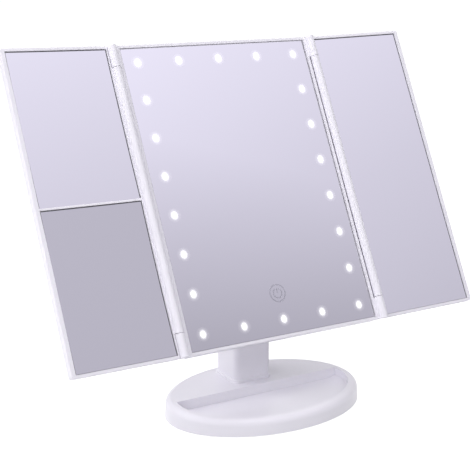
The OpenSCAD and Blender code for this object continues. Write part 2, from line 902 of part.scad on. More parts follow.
module battery_door() {
    back = door_front - flange_t;
    grip_z = box_z1 - grip_drop;
    color(white)
        in_head() {
            intersection() {
                union() {
                    span([-door_x, back, door_z0], [door_x, box_back, box_z1 + past]);
                    span([-door_x - flange_out, back, bay_z0 + gap],
                        [door_x + flange_out, door_front, box_z1 + past]);
                }
                box_outside();
            }
            for (i = [0:grip_ribs - 1])
                span([-grip_w / 2, box_back - fuse, grip_z - grip_pitch * i],
                    [grip_w / 2, box_back + grip_h, grip_z - grip_pitch * i + grip_t]);
        }
}

module control_board() {
    chip_z = box_mid + chip_w / 2;
    plug_z = box_mid + board_h / 2 - standoff_in - plug_t;
    can_z = usb_z - usb_w / 2 - 2 * can_r;
    color(board_green)
        in_head() {
            span([board_x, board_y, box_mid - board_h / 2],
                [board_x + board_w, board_face, box_mid + board_h / 2]);
            // a chip, the plug of the wires and a capacitor
            span([board_mid - chip_w / 2, board_face - fuse, chip_z],
                [board_mid + chip_w / 2, board_face + chip_h, chip_z + chip_w]);
            span([board_mid - plug_w / 2, board_face - fuse, plug_z],
                [board_mid + plug_w / 2, board_face + plug_t, plug_z + plug_t]);
            rod_y(board_mid - can_r, can_z, board_face - fuse, board_face + can_h, can_r);
        }
}

module usb_socket() {
    mouth = box_x - usb_inset;
    middle = board_face + usb_t / 2;
    color(steel)
        in_head()
            difference() {
                span([mouth - usb_len, board_face, usb_z - usb_w / 2],
                    [mouth, board_face + usb_t, usb_z + usb_w / 2]);
                difference() {
                    span([mouth - usb_len + past, board_face + usb_shell, usb_z - usb_w / 2 + usb_shell],
                        [mouth + past, board_face + usb_t - usb_shell, usb_z + usb_w / 2 - usb_shell]);
                    span([mouth - usb_len, middle - blade_t / 2, usb_z - blade_w / 2],
                        [mouth - past, middle + blade_t / 2, usb_z + blade_w / 2]);
                }
            }
}

// ---------- lights and touch sensor ----------

module led_strips() {
    side_end = light_z - strip_w / 2 - gap;
    across_end = light_x + strip_w / 2;
    color(board_white)
        in_head()
            for (s = [-1, 1]) {
                span([s * light_x - strip_w / 2, web_back, -side_end],
                    [s * light_x + strip_w / 2, web_back + strip_t, side_end]);
                span([-across_end, web_back, s * light_z - strip_w / 2],
                    [across_end, web_back + strip_t, s * light_z + strip_w / 2]);
            }
}

module leds() {
    color(glow)
        in_head()
            for (p = light_places)
                translate([p[0] - led_size[0] / 2, web_back - led_size[1], p[1] - led_size[2] / 2])
                    cube(led_size);
}

module touch_sensor() {
    color(board_green)
        in_head() {
            span([-touch_board / 2, web_back, touch_z - touch_board / 2],
                [touch_board / 2, web_back + touch_board_t, touch_z + touch_board / 2]);
            rod_y(0, touch_z, glass_t, web_back + fuse, touch_d / 2 - gap);
        }
}

// ---------- middle mirror ----------

module centre_frame() {
    color(white)
        in_head()
            difference() {
                union() {
                    difference() {
                        slab(frame_x, frame_z, corner, -lip, shell_back, lip_edge, back_edge);
                        span([-pocket_x, -lip - past, -pocket_z], [pocket_x, web_front, pocket_z]);
                        span([-pocket_x, web_back, -pocket_z], [pocket_x, shell_back + past, pocket_z]);
                    }
                    for (p = boss_places)
                        rod_y(p[0], p[1], web_back - fuse, shell_back, boss_r);
                    // fixed knuckles at both ends of both wing hinges
                    for (sx = [-1, 1], sz = [-1, 1]) {
                        z0 = sz > 0 ? knuckle_z : -frame_z;
                        translate([sx * hinge_x, -hinge_proud, z0])
                            cylinder(h = knuckle_len, r = barrel_r);
                        span([sx > 0 ? frame_x - web_root : -hinge_x, -hinge_proud - web_lead, z0],
                            [sx > 0 ? hinge_x : web_root - frame_x, web_rear, z0 + knuckle_len]);
                    }
                    // coves behind the barrels, which also stop the wings when they lie flat
                    for (sx = [-1, 1])
                        span([sx > 0 ? frame_x - web_root : -cove_x, cove_front, -frame_z],
                            [sx > 0 ? cove_x : web_root - frame_x, cove_back, frame_z]);
                }
                for (p = light_places)
                    rod_y(p[0], p[1], web_front - past, web_back + past, window_d / 2 - gap);
                rod_y(0, touch_z, web_front - past, web_back + past, touch_d / 2 + gap);
                for (p = boss_places)
                    rod_y(p[0], p[1], web_back + skin, shell_back + past, screw_r + snug_gap);
                for (sx = [-1, 1])
                    translate([sx * hinge_x, -hinge_proud, -knuckle_z])
                        cylinder(h = 2 * knuckle_z, r = barrel_r + cove_gap);
                for (sx = [-1, 1], sz = [-1, 1])
                    translate([sx * hinge_x, -hinge_proud, sz > 0 ? knuckle_z - past : -pin_top - pin_end])
                        cylinder(h = pin_top + pin_end - knuckle_z + past, r = pin_d / 2 + snug_gap);
            }
}

module centre_tape() {
    color(grey)
        in_head()
            difference() {
                span([tape_inset - glass_w / 2, glass_t, tape_inset - glass_h / 2],
                    [glass_w / 2 - tape_inset, web_front, glass_h / 2 - tape_inset]);
                for (p = light_places)
                    rod_y(p[0], p[1], glass_t - past, web_front + past, window_d / 2);
                rod_y(0, touch_z, glass_t - past, web_front + past, touch_d / 2 + gap);
            }
}

module centre_glass() {
    color(silver)
        in_head()
            difference() {
                span([-glass_w / 2, 0, -glass_h / 2], [glass_w / 2, glass_t, glass_h / 2]);
                for (p = light_places)
                    rod_y(p[0], p[1], -past, glass_t + past, window_d / 2 + snug_gap);
            }
}

module light_windows() {
    color(glow)
        in_head()
            for (p = light_places)
                rod_y(p[0], p[1], 0, glass_t, window_d / 2);
}

module pins(s) {
    color(steel)
        in_head()
            for (z = [-pin_top, pin_top - pin_len])
                translate([s * hinge_x, -hinge_proud, z])
                    cylinder(h = pin_len, r = pin_d / 2);
}

module left_hinge_pins() {
    pins(-1);
}

module right_hinge_pins() {
    pins(1);
}

// ---------- wings ----------

// Rests behind the four corners of a dished glass
module corner_rests(z0, z1, depth, curve) {
    gz = (z1 - z0) / 2;
    back = depth - sag(norm([wing_gx - rest_size, gz - rest_size]), curve) + dished_t + rest_gap;
    size = rest_size + fuse;
    for (sx = [-1, 1], sz = [-1, 1]) {
        x = sx > 0 ? wing_pocket1 - rest_size : wing_pocket0 - fuse;
        z = sz > 0 ? z1 - rest_size + gap : z0 - gap - fuse;
        span([x, back, z], [x + size, wing_floor + fuse, z + size]);
    }
}

module wing_frame(divided) {
    half = (wing_out - wing_in) / 2;
    rest = wing_glass_t + tape_t;
    ribs_x = 2;
    ribs_z = 5;
    x0 = wing_pocket0 - fuse;
    x1 = wing_pocket1 + fuse;
    floor = wing_floor + fuse;
    difference() {
        union() {
            difference() {
                translate([wing_in + half, 0, 0])
                    slab(half, frame_z, corner, -lip, wing_back, lip_edge, wing_edge);
                span([wing_pocket0, -lip - past, -pocket_z], [wing_pocket1, wing_floor, pocket_z]);
            }
            // turning barrel
            translate([hinge_x, -hinge_proud, -barrel_z])
                cylinder(h = 2 * barrel_z, r = barrel_r);
            span([hinge_x, -hinge_proud - web_lead, -barrel_z],
                [wing_in + web_root, web_rear, barrel_z]);
            if (divided) {
                span([x0, bar_front, bar_z - bar_w / 2], [x1, floor, bar_z + bar_w / 2]);
                corner_rests(lower_z0, lower_z1, lower_sag, lower_curve);
                corner_rests(upper_z0, upper_z1, upper_sag, upper_curve);
            }
            else {
                for (i = [0:ribs_x - 1]) {
                    x = wing_glass0 + (i + 1) * 2 * wing_gx / (ribs_x + 1);
                    span([x - wing_rib / 2, rest, -pocket_z - fuse],
                        [x + wing_rib / 2, floor, pocket_z + fuse]);
                }
                for (i = [0:ribs_z - 1]) {
                    z = -glass_h / 2 + (i + 1) * glass_h / (ribs_z + 1);
                    span([x0, rest, z - wing_rib / 2], [x1, floor, z + wing_rib / 2]);
                }
            }
        }
        for (s = [-1, 1]) {
            // room for the fixed knuckles
            translate([hinge_x, -hinge_proud, s > 0 ? barrel_z : -frame_z - past])
                cylinder(h = frame_z + past - barrel_z, r = barrel_r + gap);
            translate([hinge_x, -hinge_proud, s > 0 ? pin_end_z : -barrel_z - past])
                cylinder(h = barrel_z + past - pin_end_z, r = pin_d / 2 + run_gap);
        }
    }
}

// Glass dished to a spherical hollow, its corners level with the plain glass
module dished_glass(z0, z1, depth, curve) {
    gz = (z1 - z0) / 2;
    reach = norm([wing_gx, gz]) + 2;
    steps = 12;
    face = [for (i = [0:steps]) let (r = reach * i / steps) [r, depth - sag(r, curve)]];
    rear = [for (i = [steps:-1:0]) face[i] + [0, dished_t]];
    intersection() {
        span([wing_glass0, -past, z0], [wing_glass1, wing_floor, z1]);
        translate([wing_mid, 0, (z0 + z1) / 2])
            rotate([-90, 0, 0])
                rotate_extrude($fn = 128)
                    polygon(concat(face, rear));
    }
}

module left_wing_frame() {
    color(white)
        in_left_wing()
            wing_frame(true);
}

module left_upper_glass() {
    color(silver)
        in_left_wing()
            dished_glass(upper_z0, upper_z1, upper_sag, upper_curve);
}

module left_lower_glass() {
    color(silver)
        in_left_wing()
            dished_glass(lower_z0, lower_z1, lower_sag, lower_curve);
}

// Foam tape between the back wall and the deepest point of each dished glass
module left_tape() {
    color(grey)
        in_left_wing()
            for (p = [[lower_sag, (lower_z0 + lower_z1) / 2], [upper_sag, (upper_z0 + upper_z1) / 2]])
                span([wing_mid - foam_half, p[0] + dished_t + foam_gap, p[1] - foam_half],
                    [wing_mid + foam_half, wing_floor, p[1] + foam_half]);
}

module right_wing_frame() {
    color(white)
        in_right_wing()
            wing_frame(false);
}

module right_tape() {
    color(grey)
        in_right_wing()
            span([wing_glass0 + tape_inset, wing_glass_t, tape_inset - glass_h / 2],
                [wing_glass1 - tape_inset, wing_glass_t + tape_t, glass_h / 2 - tape_inset]);
}

module right_glass() {
    color(silver)
        in_right_wing()
            span([wing_glass0, 0, -glass_h / 2], [wing_glass1, wing_glass_t, glass_h / 2]);
}

base_pad();
base_plate();
base_weight();
base_shell();
base_screws();
post();
post_panel();
post_screws();
panel_screws();
tilt_bolt();
tilt_nut();
friction_washers();
hinge_caps();
rear_cover();
rear_screws();
battery_cells();
battery_contacts();
battery_door();
control_board();
usb_socket();
led_strips();
leds();
touch_sensor();
centre_frame();
centre_tape();
centre_glass();
light_windows();
left_wing_frame();
left_tape();
left_upper_glass();
left_lower_glass();
left_hinge_pins();
right_wing_frame();
right_tape();
right_glass();
right_hinge_pins();
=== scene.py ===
"""Trifold vanity mirror on a tray base: its visible pieces, finishes, light and camera.

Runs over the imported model. Sizes are in metres. Pieces of the head are modelled upright, with X to
the right, Y behind the glass and Z up the glass, and are then tipped back into place.
"""

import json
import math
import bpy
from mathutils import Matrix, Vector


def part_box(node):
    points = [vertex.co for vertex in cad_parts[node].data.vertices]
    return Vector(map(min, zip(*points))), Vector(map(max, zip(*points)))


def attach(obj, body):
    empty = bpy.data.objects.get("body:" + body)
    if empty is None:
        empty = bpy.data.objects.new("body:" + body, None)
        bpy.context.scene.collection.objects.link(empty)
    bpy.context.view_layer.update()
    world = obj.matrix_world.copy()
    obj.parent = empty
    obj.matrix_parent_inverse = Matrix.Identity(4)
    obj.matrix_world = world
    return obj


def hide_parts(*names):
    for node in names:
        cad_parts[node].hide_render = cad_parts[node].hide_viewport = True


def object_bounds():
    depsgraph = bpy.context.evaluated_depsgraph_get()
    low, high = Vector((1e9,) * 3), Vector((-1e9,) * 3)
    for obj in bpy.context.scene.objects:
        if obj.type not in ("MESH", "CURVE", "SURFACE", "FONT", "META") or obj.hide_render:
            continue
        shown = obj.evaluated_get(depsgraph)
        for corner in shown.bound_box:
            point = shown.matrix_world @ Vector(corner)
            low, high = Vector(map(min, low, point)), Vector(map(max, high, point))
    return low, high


bl_info = {
    "name": "Trifold vanity mirror",
    "version": (1, 0, 0),
    "blender": (4, 5, 0),
    "location": "3D Viewport > Sidebar > Vanity mirror",
    "description": "Models and finishes a lighted trifold make-up mirror on its tray base",
    "category": "Object",
}

import bmesh
import bpy
from bpy.props import FloatProperty, FloatVectorProperty, IntProperty, PointerProperty
from bpy.types import Operator, Panel, PropertyGroup
from mathutils import Matrix, Vector

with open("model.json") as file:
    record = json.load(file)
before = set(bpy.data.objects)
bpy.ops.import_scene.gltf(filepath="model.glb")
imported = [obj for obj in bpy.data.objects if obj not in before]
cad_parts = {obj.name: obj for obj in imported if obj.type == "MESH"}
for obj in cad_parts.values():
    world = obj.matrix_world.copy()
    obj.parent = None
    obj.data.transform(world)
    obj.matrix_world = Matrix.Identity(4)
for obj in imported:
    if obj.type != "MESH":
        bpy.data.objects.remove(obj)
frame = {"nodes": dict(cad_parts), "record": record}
cad_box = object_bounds()
shell_low, shell_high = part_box("base_shell")
post_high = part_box("post")[1]

MM = 0.001
NEAR = 0.02 * MM
WELD = 0.002 * MM
# how far pieces that are fused reach into each other
OVERLAP = 0.2 * MM
FRAME_BEVEL, COVER_BEVEL = 0.15 * MM, 0.25 * MM
# how far the hinge webs reach past the axis to the front
WEB_FRONT = 0.15 * MM
WHITE = (1, 1, 1, 1)

# steps inwards from a light window's edge to its middle, as shares of its radius
LENS_STEPS = (0.04, 0.06, 0.14, 0.14, 0.12, 0.14)
LENS_EDGE = 0.98
# where the colours of a two-tone pattern lie on its ramp
PATTERN = (0.3, 0.7)
# height of the fine relief in a surface
RELIEF = 0.05 * MM
# how far a noise shifts the heights of the painted reflection fade on a glass
WAVER = 4 * MM
# heights between which the middle glass's painted reflection fades darker towards its foot, and how far they
# sink per unit to the right
PAINTED_FADE_LOW, PAINTED_FADE_HIGH, PAINTED_FADE_SLANT = 0.05, 0.19, 0.3

# pattern's two colours, roughness, pattern's scale, metal, stretch and relief of the plain finishes
PLAIN_FINISHES = {
    "steel": ("Plated steel", (0.50, 0.51, 0.53), (0.66, 0.67, 0.69), 0.3, 300.0, 1.0, (1, 1, 6)),
    "rubber": ("Grey rubber", (0.10, 0.10, 0.11), (0.15, 0.15, 0.16), 0.75, 500.0, 0.0, (1, 1, 1), 0.4),
    "tape": ("Foam tape", (0.28, 0.28, 0.29), (0.36, 0.36, 0.37), 0.9, 900.0, 0.0, (1, 1, 1), 0.5),
    "cell_jacket": ("Cell jacket", (0.05, 0.06, 0.08), (0.07, 0.08, 0.10), 0.3, 60.0, 0.4, (1, 1, 1), 0.02),
    "circuit_board": ("Green solder mask", (0.01, 0.09, 0.04), (0.02, 0.13, 0.06), 0.35, 700.0),
    "light_board": ("White solder mask", (0.72, 0.74, 0.70), (0.78, 0.80, 0.76), 0.4, 500.0),
}

LAMP_SIZE = 1.0
LAMP_PLACES = {
    "left": (-1.4, -0.6, 0.6), "front": (0.35, -1.05, 1.25), "rear": (-0.9, 0.5, 1.3), "top": (0, 0.3, 1.7),
}
# brightness of the room's front wall at heights from its foot (0) to its top (1)
FRONT_WALL = ((0.20, 0.90), (0.36, 0.60), (0.46, 0.69), (0.56, 0.80), (0.64, 0.92), (0.69, 1.00))
# directions between which the white room passes into its front wall
WALL_START, WALL_STOP = 0.05, -0.25


# ---------- sizes and colours that a user would change ----------


def length(name, description, default, low=0.0):
    return FloatProperty(
        name=name, description=description, default=default, min=low, precision=5, unit="LENGTH"
    )


def turn(name, description, default):
    return FloatProperty(
        name=name, description=description, default=math.radians(default), unit="ROTATION"
    )


def colour(name, description, default):
    return FloatVectorProperty(
        name=name, description=description, default=default, size=3, min=0.0, max=1.0, subtype="COLOR"
    )


def amount(name, description, default, high=100.0):
    return FloatProperty(name=name, description=description, default=default, min=0.0, max=high)


class VanityBaseSizes(PropertyGroup):
    rim: length("Rim height", "Height of the lower rim above the table", shell_low.z)
    top: length("Top height", "Height of the top above the table, in the middle of the base", 0.0144)
    rise: turn("Rise", "Angle at which the top rises towards the back", 2.0)
    width: length("Width", "Width at the lower rim", shell_high.x - shell_low.x)
    depth: length("Depth", "Depth at the lower rim", shell_high.y - shell_low.y)
    lean: length("Lean", "How far the wall leans in towards the top", 0.0008)
    edge: length("Top edge", "Radius of the soft top edge", 0.0045)
    wall: length("Wall", "Thickness of the wall at the rim", 0.0028)
    recess: length("Recess", "Depth of the recess for the closing plate", 0.0024)
    tray_depth: length("Tray depth", "Depth of the tray", 0.0072)
    tray_rim: length("Tray rim", "Width of the rim in front of the tray", 0.008)
    tray_back: length("Tray back", "Distance of the tray's straight wall behind the middle", 0.0063)
    tray_lean: length("Tray lean", "How far the straight wall leans in down to the floor", 0.001)
    tray_roll: length("Tray roll", "Radius of the rolled front edge of the tray", 0.003)
    tray_dish: length("Tray dish", "Width of the curve in which the floor rises to the front edge", 0.01)
    tray_swell: length("Tray swell", "Height of that curve", 0.0024)


class VanityPostSizes(PropertyGroup):
    width: length("Width", "Width of the post", 0.0326)
    depth: length("Depth", "Depth of the post", 0.03)
    middle: length("Middle", "Distance of the post behind the middle of the base", 0.0297)
    corner: length("Corner", "Radius of the upright corners", 0.0045)
    pivot: length("Pivot height", "Height of the tilt pivot", post_high.z - 0.015)
    shoulder: length("Shoulder drop", "From the pivot down to the shoulder", 0.016)
    tongue: length("Tongue width", "Width of the tongue that the head tilts on", 0.0174)
    collar: length("Collar height", "Height of the collar at the foot", 0.0028)
    collar_out: length("Collar reach", "How far the collar stands out", 0.001)


class VanityHeadSizes(PropertyGroup):
    tilt: turn("Tilt", "How far the head leans back", 27.9)
    pivot_back: length("Pivot behind", "Distance of the pivot behind the glass", 0.028)
    pivot_drop: length("Pivot below", "Distance of the pivot below the middle of the glass", 0.0335)
    glass_width: length("Glass width", "Width of the middle glass", 0.1595)
    glass_height: length("Glass height", "Height of the glasses", 0.2278)
    rim_side: length("Side rim", "Width of the rim beside the glass", 0.00235)
    rim_end: length("End rim", "Width of the rims above and below the glass", 0.0023)
    lip: length("Lip", "How far the rims stand proud of the glass", 0.001)
    lip_edge: length("Lip edge", "Radius of the soft outer edge of a rim", 0.0006)
    corner: length("Corner", "Radius of the frames' outer corners", 0.002)
    fit: length("Fit", "Gap round a glass", 0.0003)
    side_fit: length("Side gap", "Gap between the middle glass and the rim beside it", 0.001)
    # the dark band on a glass's front at its top and sides is painted shade, standing in for the shadowed gap
    # beside the rim
    edge_and_shade_band: length("Ground edge", "Width of the dark ground edge of a glass", 0.00045)
    seat: length("Seat depth", "Depth of the face that carries the glass", 0.0032)
    web: length("Web", "Thickness of that face", 0.0016)
    seam: length("Seam depth", "Depth of the seam between frame and cover", 0.009)
    cover: length("Cover", "Thickness of the rear cover", 0.002)
    cover_edge: length("Cover edge", "Radius of the cover's back edge", 0.0016)


class VanityWingSizes(PropertyGroup):
    fold: turn("Fold", "How far each wing is folded forwards", 3.0)
    barrel: length("Barrel radius", "Radius of the hinge barrels", 0.0033)
    barrel_gap: length("Barrel gap", "Gap between the middle frame and a barrel", 0.0006)
    proud: length("Axis in front", "How far a hinge axis stands in front of the glass", 0.00175)
    knuckle: length("Knuckle", "Length of the fixed knuckle at each end of a hinge", 0.0172)
    cove: length("Cove", "How far the cove reaches past the hinge axis", 0.0008)
    cove_gap: length("Cove gap", "Room round a barrel in its cove", 0.0004)
    web: length("Hinge web", "Depth of the web that carries a barrel", 0.003)
    between: length("Gap when shut", "Gap between the wings when both are shut", 0.002)
    strip: length("Strip", "Distance from a hinge axis to the glass of its wing", 0.0046)
    rim: length("Outer rim", "Width of the rim at a wing's outer edge", 0.0032)
    depth: length("Depth", "Depth of a wing behind the glass's front", 0.0058)
    floor: length("Floor depth", "Depth of the floor behind the dished glasses", 0.0045)
    plain_seat: length("Plain seat", "Depth of the face behind the plain glass", 0.0022)
    back_edge: length("Back edge", "Radius of a wing's back edge", 0.0012)
    bar_height: length("Bar height", "Height of the dividing bar above the middle", -0.0002, -0.05)
    bar_width: length("Bar width", "Width of the dividing bar", 0.0016)
    bar_low: length("Bar set back", "How far the bar lies behind the rim's front", 0.0004)
    lower_curve: length("Lower curve", "Radius of curvature of the lower glass", 2.0)
    upper_curve: length("Upper curve", "Radius of curvature of the upper glass", 3.0)
    dished: length("Dished glass", "Thickness of the dished glasses", 0.0016)
    plain: length("Plain glass", "Thickness of the plain glass", 0.002)


class VanityLightSizes(PropertyGroup):
    across: IntProperty(name="Across", description="Lights in the top and in the bottom row", default=5)
    beside: IntProperty(name="Beside", description="Lights on each side between the corners", default=6)
    inset_x: length("Side inset", "Distance of the rows from the sides of the glass", 0.01145)
    inset_z: length("End inset", "Distance of the rows from the ends of the glass", 0.0112)
    window: length("Window radius", "Radius of a light window with the halo round it", 0.0052)
    core: amount("Core", "Radius of a light's white core, as a share of its window's", 0.4, 0.95)
    veil: amount("Veil", "Radius at which a light has faded to its halo, as such a share", 0.86, 0.95)
    halo: amount("Halo", "Strength of the halo, as a share of the core's", 0.06, 1.0)
    slim: amount("Slimness", "Width of a light's core, as a share of its height", 0.85, 1.0)
    glass: length("Glass thickness", "Thickness of the middle glass", 0.003)
    mark_height: length("Mark height", "Height of the touch mark above the lower edge", 0.0309)
    mark: length("Mark radius", "Radius of the touch mark's ring", 0.0064)
    mark_line: length("Mark line", "Width of the ring's line", 0.0009)
    sign: length("Sign radius", "Radius of the standby sign in the ring", 0.0036)
    print_depth: length("Print", "Thickness of the printed mark", 0.00004)


class VanityBackSizes(PropertyGroup):
    width: length("Box width", "Width of the battery box", 0.096)
    height: length("Box height", "Height of the battery box", 0.06)
    depth: length("Box depth", "Depth of the box behind the cover", 0.014)
    rise: length("Box rise", "Height of the box above the pivot", 0.0165)
    corner: length("Box corner", "Radius of the box's corners", 0.008)
    edge: length("Box edge", "Radius of the box's back edges", 0.003)
    door: length("Door width", "Width of the battery door", 0.0472)
    door_depth: length("Door depth", "Thickness of the door with its flanges", 0.0028)
    flange: length("Flange", "How far the door's flanges reach into the box", 0.0018)
    flange_depth: length("Flange depth", "Thickness of a flange", 0.001)
    bay_foot: length("Bay foot", "Height of the bay above the box's lower edge", 0.004)
    bay_head: length("Bay head", "Distance from the bay to the box's upper edge", 0.0035)
    ear: length("Ear", "Thickness of a hinge ear", 0.0055)
    ear_radius: length("Ear radius", "Radius of an ear's round end", 0.01)
    ear_root: length("Ear root", "Half height of an ear at the cover", 0.012)
    washer: length("Washer", "Thickness of a friction washer", 0.001)
    bolt: length("Bolt radius", "Radius of the tilt bolt", 0.004)
    cap: length("Cap radius", "Radius of the caps over bolt and nut", 0.0085)
    cap_depth: length("Cap depth", "Thickness of a cap", 0.0008)
    port_width: length("USB mouth width", "Width of the mouth of the USB inlet", 0.0082)
    port_depth: length("USB mouth depth", "Depth of that mouth from front to back", 0.0033)
    port_back: length("USB mouth behind", "Distance of the mouth's middle behind the cover", 0.00405)
    port_drop: length("USB mouth below", "Distance of the mouth below the middle of the box", 0.008)
    screw: length("Screw head", "Radius of a screw's seat in the cover", 0.0024)
    screw_depth: length("Screw seat", "Depth of that seat", 0.001)


class VanityFinishes(PropertyGroup):
    plastic: colour("Plastic", "Colour of the white mouldings", (0.88, 0.865, 0.925))
    plastic_gloss: amount("Plastic roughness", "Roughness of the white mouldings", 0.3, 1.0)
    silver: colour("Silvering", "Tint of the silvered glass", (0.895, 0.895, 0.92))
    # the lower dished glass is painted darker than the others: painted shade standing in for the darker
    # reflection it shows
    strong: amount("Strong glass", "Brightness of the lower dished glass, as a share of the others'", 0.78, 1.0)
    # painted reflection: the middle glass is painted brighter at its top, and the middle and upper glasses
    # darker towards their feet
    middle: amount("Middle glass", "Brightness of the middle glass's top, as a share of the others'", 1.035)
    foot: amount("Foot", "Brightness of the middle glass at its foot, as a share of its top's", 0.71, 1.0)
    upper_foot: amount("Upper foot", "The same share for the upper dished glass", 0.9, 1.0)
    # colour of the glasses' ground edges and backs, and of the painted shade band on their fronts; the middle
    # glass's band is a lighter painted shade
    edge_and_shade_band: colour("Ground edge", "Colour of the wing glasses' ground edges", (0.09, 0.09, 0.10))
    middle_edge_and_shade_band: colour("Middle ground edge and shade band", "Colour of the middle glass's ground edge", (0.66, 0.65, 0.70))
    mark: colour("Mark", "Colour of the printed touch mark", (0.42, 0.41, 0.48))
    glow: colour("Glow", "Colour of the lights", (1.0, 0.99, 1.0))
    glow_power: amount("Glow strength", "Strength of the lights", 0.7)


class VanityStudio(PropertyGroup):
    eye: FloatVectorProperty(
        name="Camera place", description="Where the camera stands", default=(-0.4496, -0.7044, 0.3466),
        size=3, subtype="XYZ", unit="LENGTH",
    )
    heading: turn("Heading", "Direction in which the camera looks, from the back towards the right", 31.15)
    dip: turn("Dip", "How far the camera looks down", 14.84)
    roll: turn("Roll", "Turn of the camera about its own axis", 0.25)
    lens: amount("Lens", "Focal length in millimetres", 89.07, 300.0)
    shift_x: FloatProperty(name="Shift X", description="Sideways shift of the picture", default=-0.0049)
    shift_y: FloatProperty(name="Shift Y", description="Upward shift of the picture", default=0.0259)
    left: amount("Left light", "Power of the low light on the left, in watts", 8.6, 1000.0)
    front: amount("Front light", "Power of the high light in front, in watts", 8.0, 1000.0)
    rear: amount("Rear light", "Power of the high light on the left behind, in watts", 10.7, 1000.0)
    top: amount("Top light", "Power of the light overhead, in watts", 4.2, 1000.0)
    ambient: amount("Ambient", "Strength of the room's light on the object", 0.345, 10.0)
    tint: colour("Light tint", "Colour of the lamps and of the room's light", (0.985, 0.975, 1.0))
    picture: colour("Room tint", "Colour of the room that the glasses mirror", (0.895, 0.86, 1.0))
    floor: colour("Floor", "Colour of the floor", (0.58, 0.58, 0.59))
    white: amount("White", "How far the floor's own brightness lifts it for the camera", 0.84, 1.0)


class VanityMirrorSettings(PropertyGroup):
    base: PointerProperty(type=VanityBaseSizes)
    post: PointerProperty(type=VanityPostSizes)
    head: PointerProperty(type=VanityHeadSizes)
    wings: PointerProperty(type=VanityWingSizes)
    lights: PointerProperty(type=VanityLightSizes)
    back: PointerProperty(type=VanityBackSizes)
    finishes: PointerProperty(type=VanityFinishes)
    studio: PointerProperty(type=VanityStudio)


class Layout:
    """Places worked out from the sizes, in the upright head's own axes."""

    def __init__(self, settings):
        head, wings, back, post = settings.head, settings.wings, settings.back, settings.post
        base = settings.base
        self.deck = base.top
        self.slope = math.tan(base.rise)
        self.seat = base.top + self.slope * (post.middle - post.depth / 2 - post.collar_out)
        self.pocket_x = head.glass_width / 2 + head.side_fit
        self.pocket_z = head.glass_height / 2 + head.fit
        self.frame_x = self.pocket_x + head.rim_side
        self.frame_z = self.pocket_z + head.rim_end
        self.head_back = head.seam + head.cover
        self.hinge_x = self.frame_x + wings.barrel_gap + wings.barrel
        self.knuckle_z = self.frame_z - wings.knuckle
        self.barrel_z = self.knuckle_z - head.fit
        self.cove_x = self.hinge_x + wings.cove
        self.cove_front = wings.barrel * 0.7 - wings.proud
        self.wing_in = self.cove_x + 0.4 * MM
        self.wing_out = 2 * self.hinge_x - wings.between / 2
        self.wing_pocket = (self.hinge_x + wings.strip - head.fit, self.wing_out - wings.rim)
        self.pivot_z = -head.pivot_drop
        self.box_low = self.pivot_z + back.rise
        self.box_high = self.box_low + back.height
        self.box_back = self.head_back + back.depth
        self.door_front = self.box_back - back.door_depth
        self.ear_in = post.tongue / 2 + head.fit + back.washer
        self.ear_out = self.ear_in + back.ear
        tilt = Matrix.Rotation(-head.tilt, 4, "X")
        pivot = Matrix.Translation((0, post.middle, post.pivot))
        self.head = pivot @ tilt @ Matrix.Translation((0, -head.pivot_back, head.pivot_drop))
        hinge = Matrix.Translation((self.hinge_x, -wings.proud, 0))
        folded = hinge @ Matrix.Rotation(-wings.fold, 4, "Z") @ hinge.inverted()
        self.right_wing = self.head @ folded
        self.left_wing = self.head @ Matrix.Scale(-1, 4, (1, 0, 0)) @ folded

    def on_deck(self, item):
        """Whether an item lies in the sloping top of the base."""
        vertices = [item] if isinstance(item, bmesh.types.BMVert) else item.verts
        return all(abs(vertex.co.z - self.deck - self.slope * vertex.co.y) < NEAR for vertex in vertices)


def read_settings(*groups):
    """The layout, and these groups of the settings."""
    settings = bpy.context.scene.vanity_mirror
    return Layout(settings), *(getattr(settings, group) for group in groups)


# ---------- modelling steps ----------


def clear_selection():
    bpy.ops.object.select_all(action="DESELECT")


def take(piece):
    """Selects one piece alone and makes it the active one."""
    clear_selection()
    piece.select_set(True)
    bpy.context.view_layer.objects.active = piece


def set_transform(piece):
    take(piece)
    bpy.ops.object.transform_apply(location=True, rotation=True, scale=True)


def middle(item):
    """Middle of a vertex, edge or face."""
    if isinstance(item, bmesh.types.BMVert):
        return item.co
    return sum((vertex.co for vertex in item.verts), Vector()) / len(item.verts)


def pick(piece, kind, test):
    """In edit mode, selects the vertices, edges or faces for which the test holds."""
    bpy.ops.mesh.select_mode(type=kind)
    bpy.ops.mesh.select_all(action="DESELECT")
    mesh = bmesh.from_edit_mesh(piece.data)
    items = {"VERT": mesh.verts, "EDGE": mesh.edges, "FACE": mesh.faces}[kind]
    mesh.normal_update()
    found = [item for item in items if test(item)]
    if not found:
        raise RuntimeError(f"{piece.name}: nothing to select")
    for item in found:
        item.select_set(True)
    bmesh.update_edit_mesh(piece.data)


def begin(piece, whole=False):
    """Opens the piece in edit mode, with all of it selected where it is worked on whole."""
    take(piece)
    bpy.ops.object.mode_set(mode="EDIT")
    if whole:
        bpy.ops.mesh.select_all(action="SELECT")


def end():
    bpy.ops.object.mode_set(mode="OBJECT")


def extrude(move):
    bpy.ops.mesh.extrude_region_move(TRANSFORM_OT_translate={"value": move})


def add_block(name, low, high):
    """A cube primitive stretched between two corners."""
    clear_selection()
    low, high = Vector(low), Vector(high)
    bpy.ops.mesh.primitive_cube_add(size=1, location=(low + high) / 2, scale=high - low)
    piece = bpy.context.object
    piece.name = name
    set_transform(piece)
    return piece


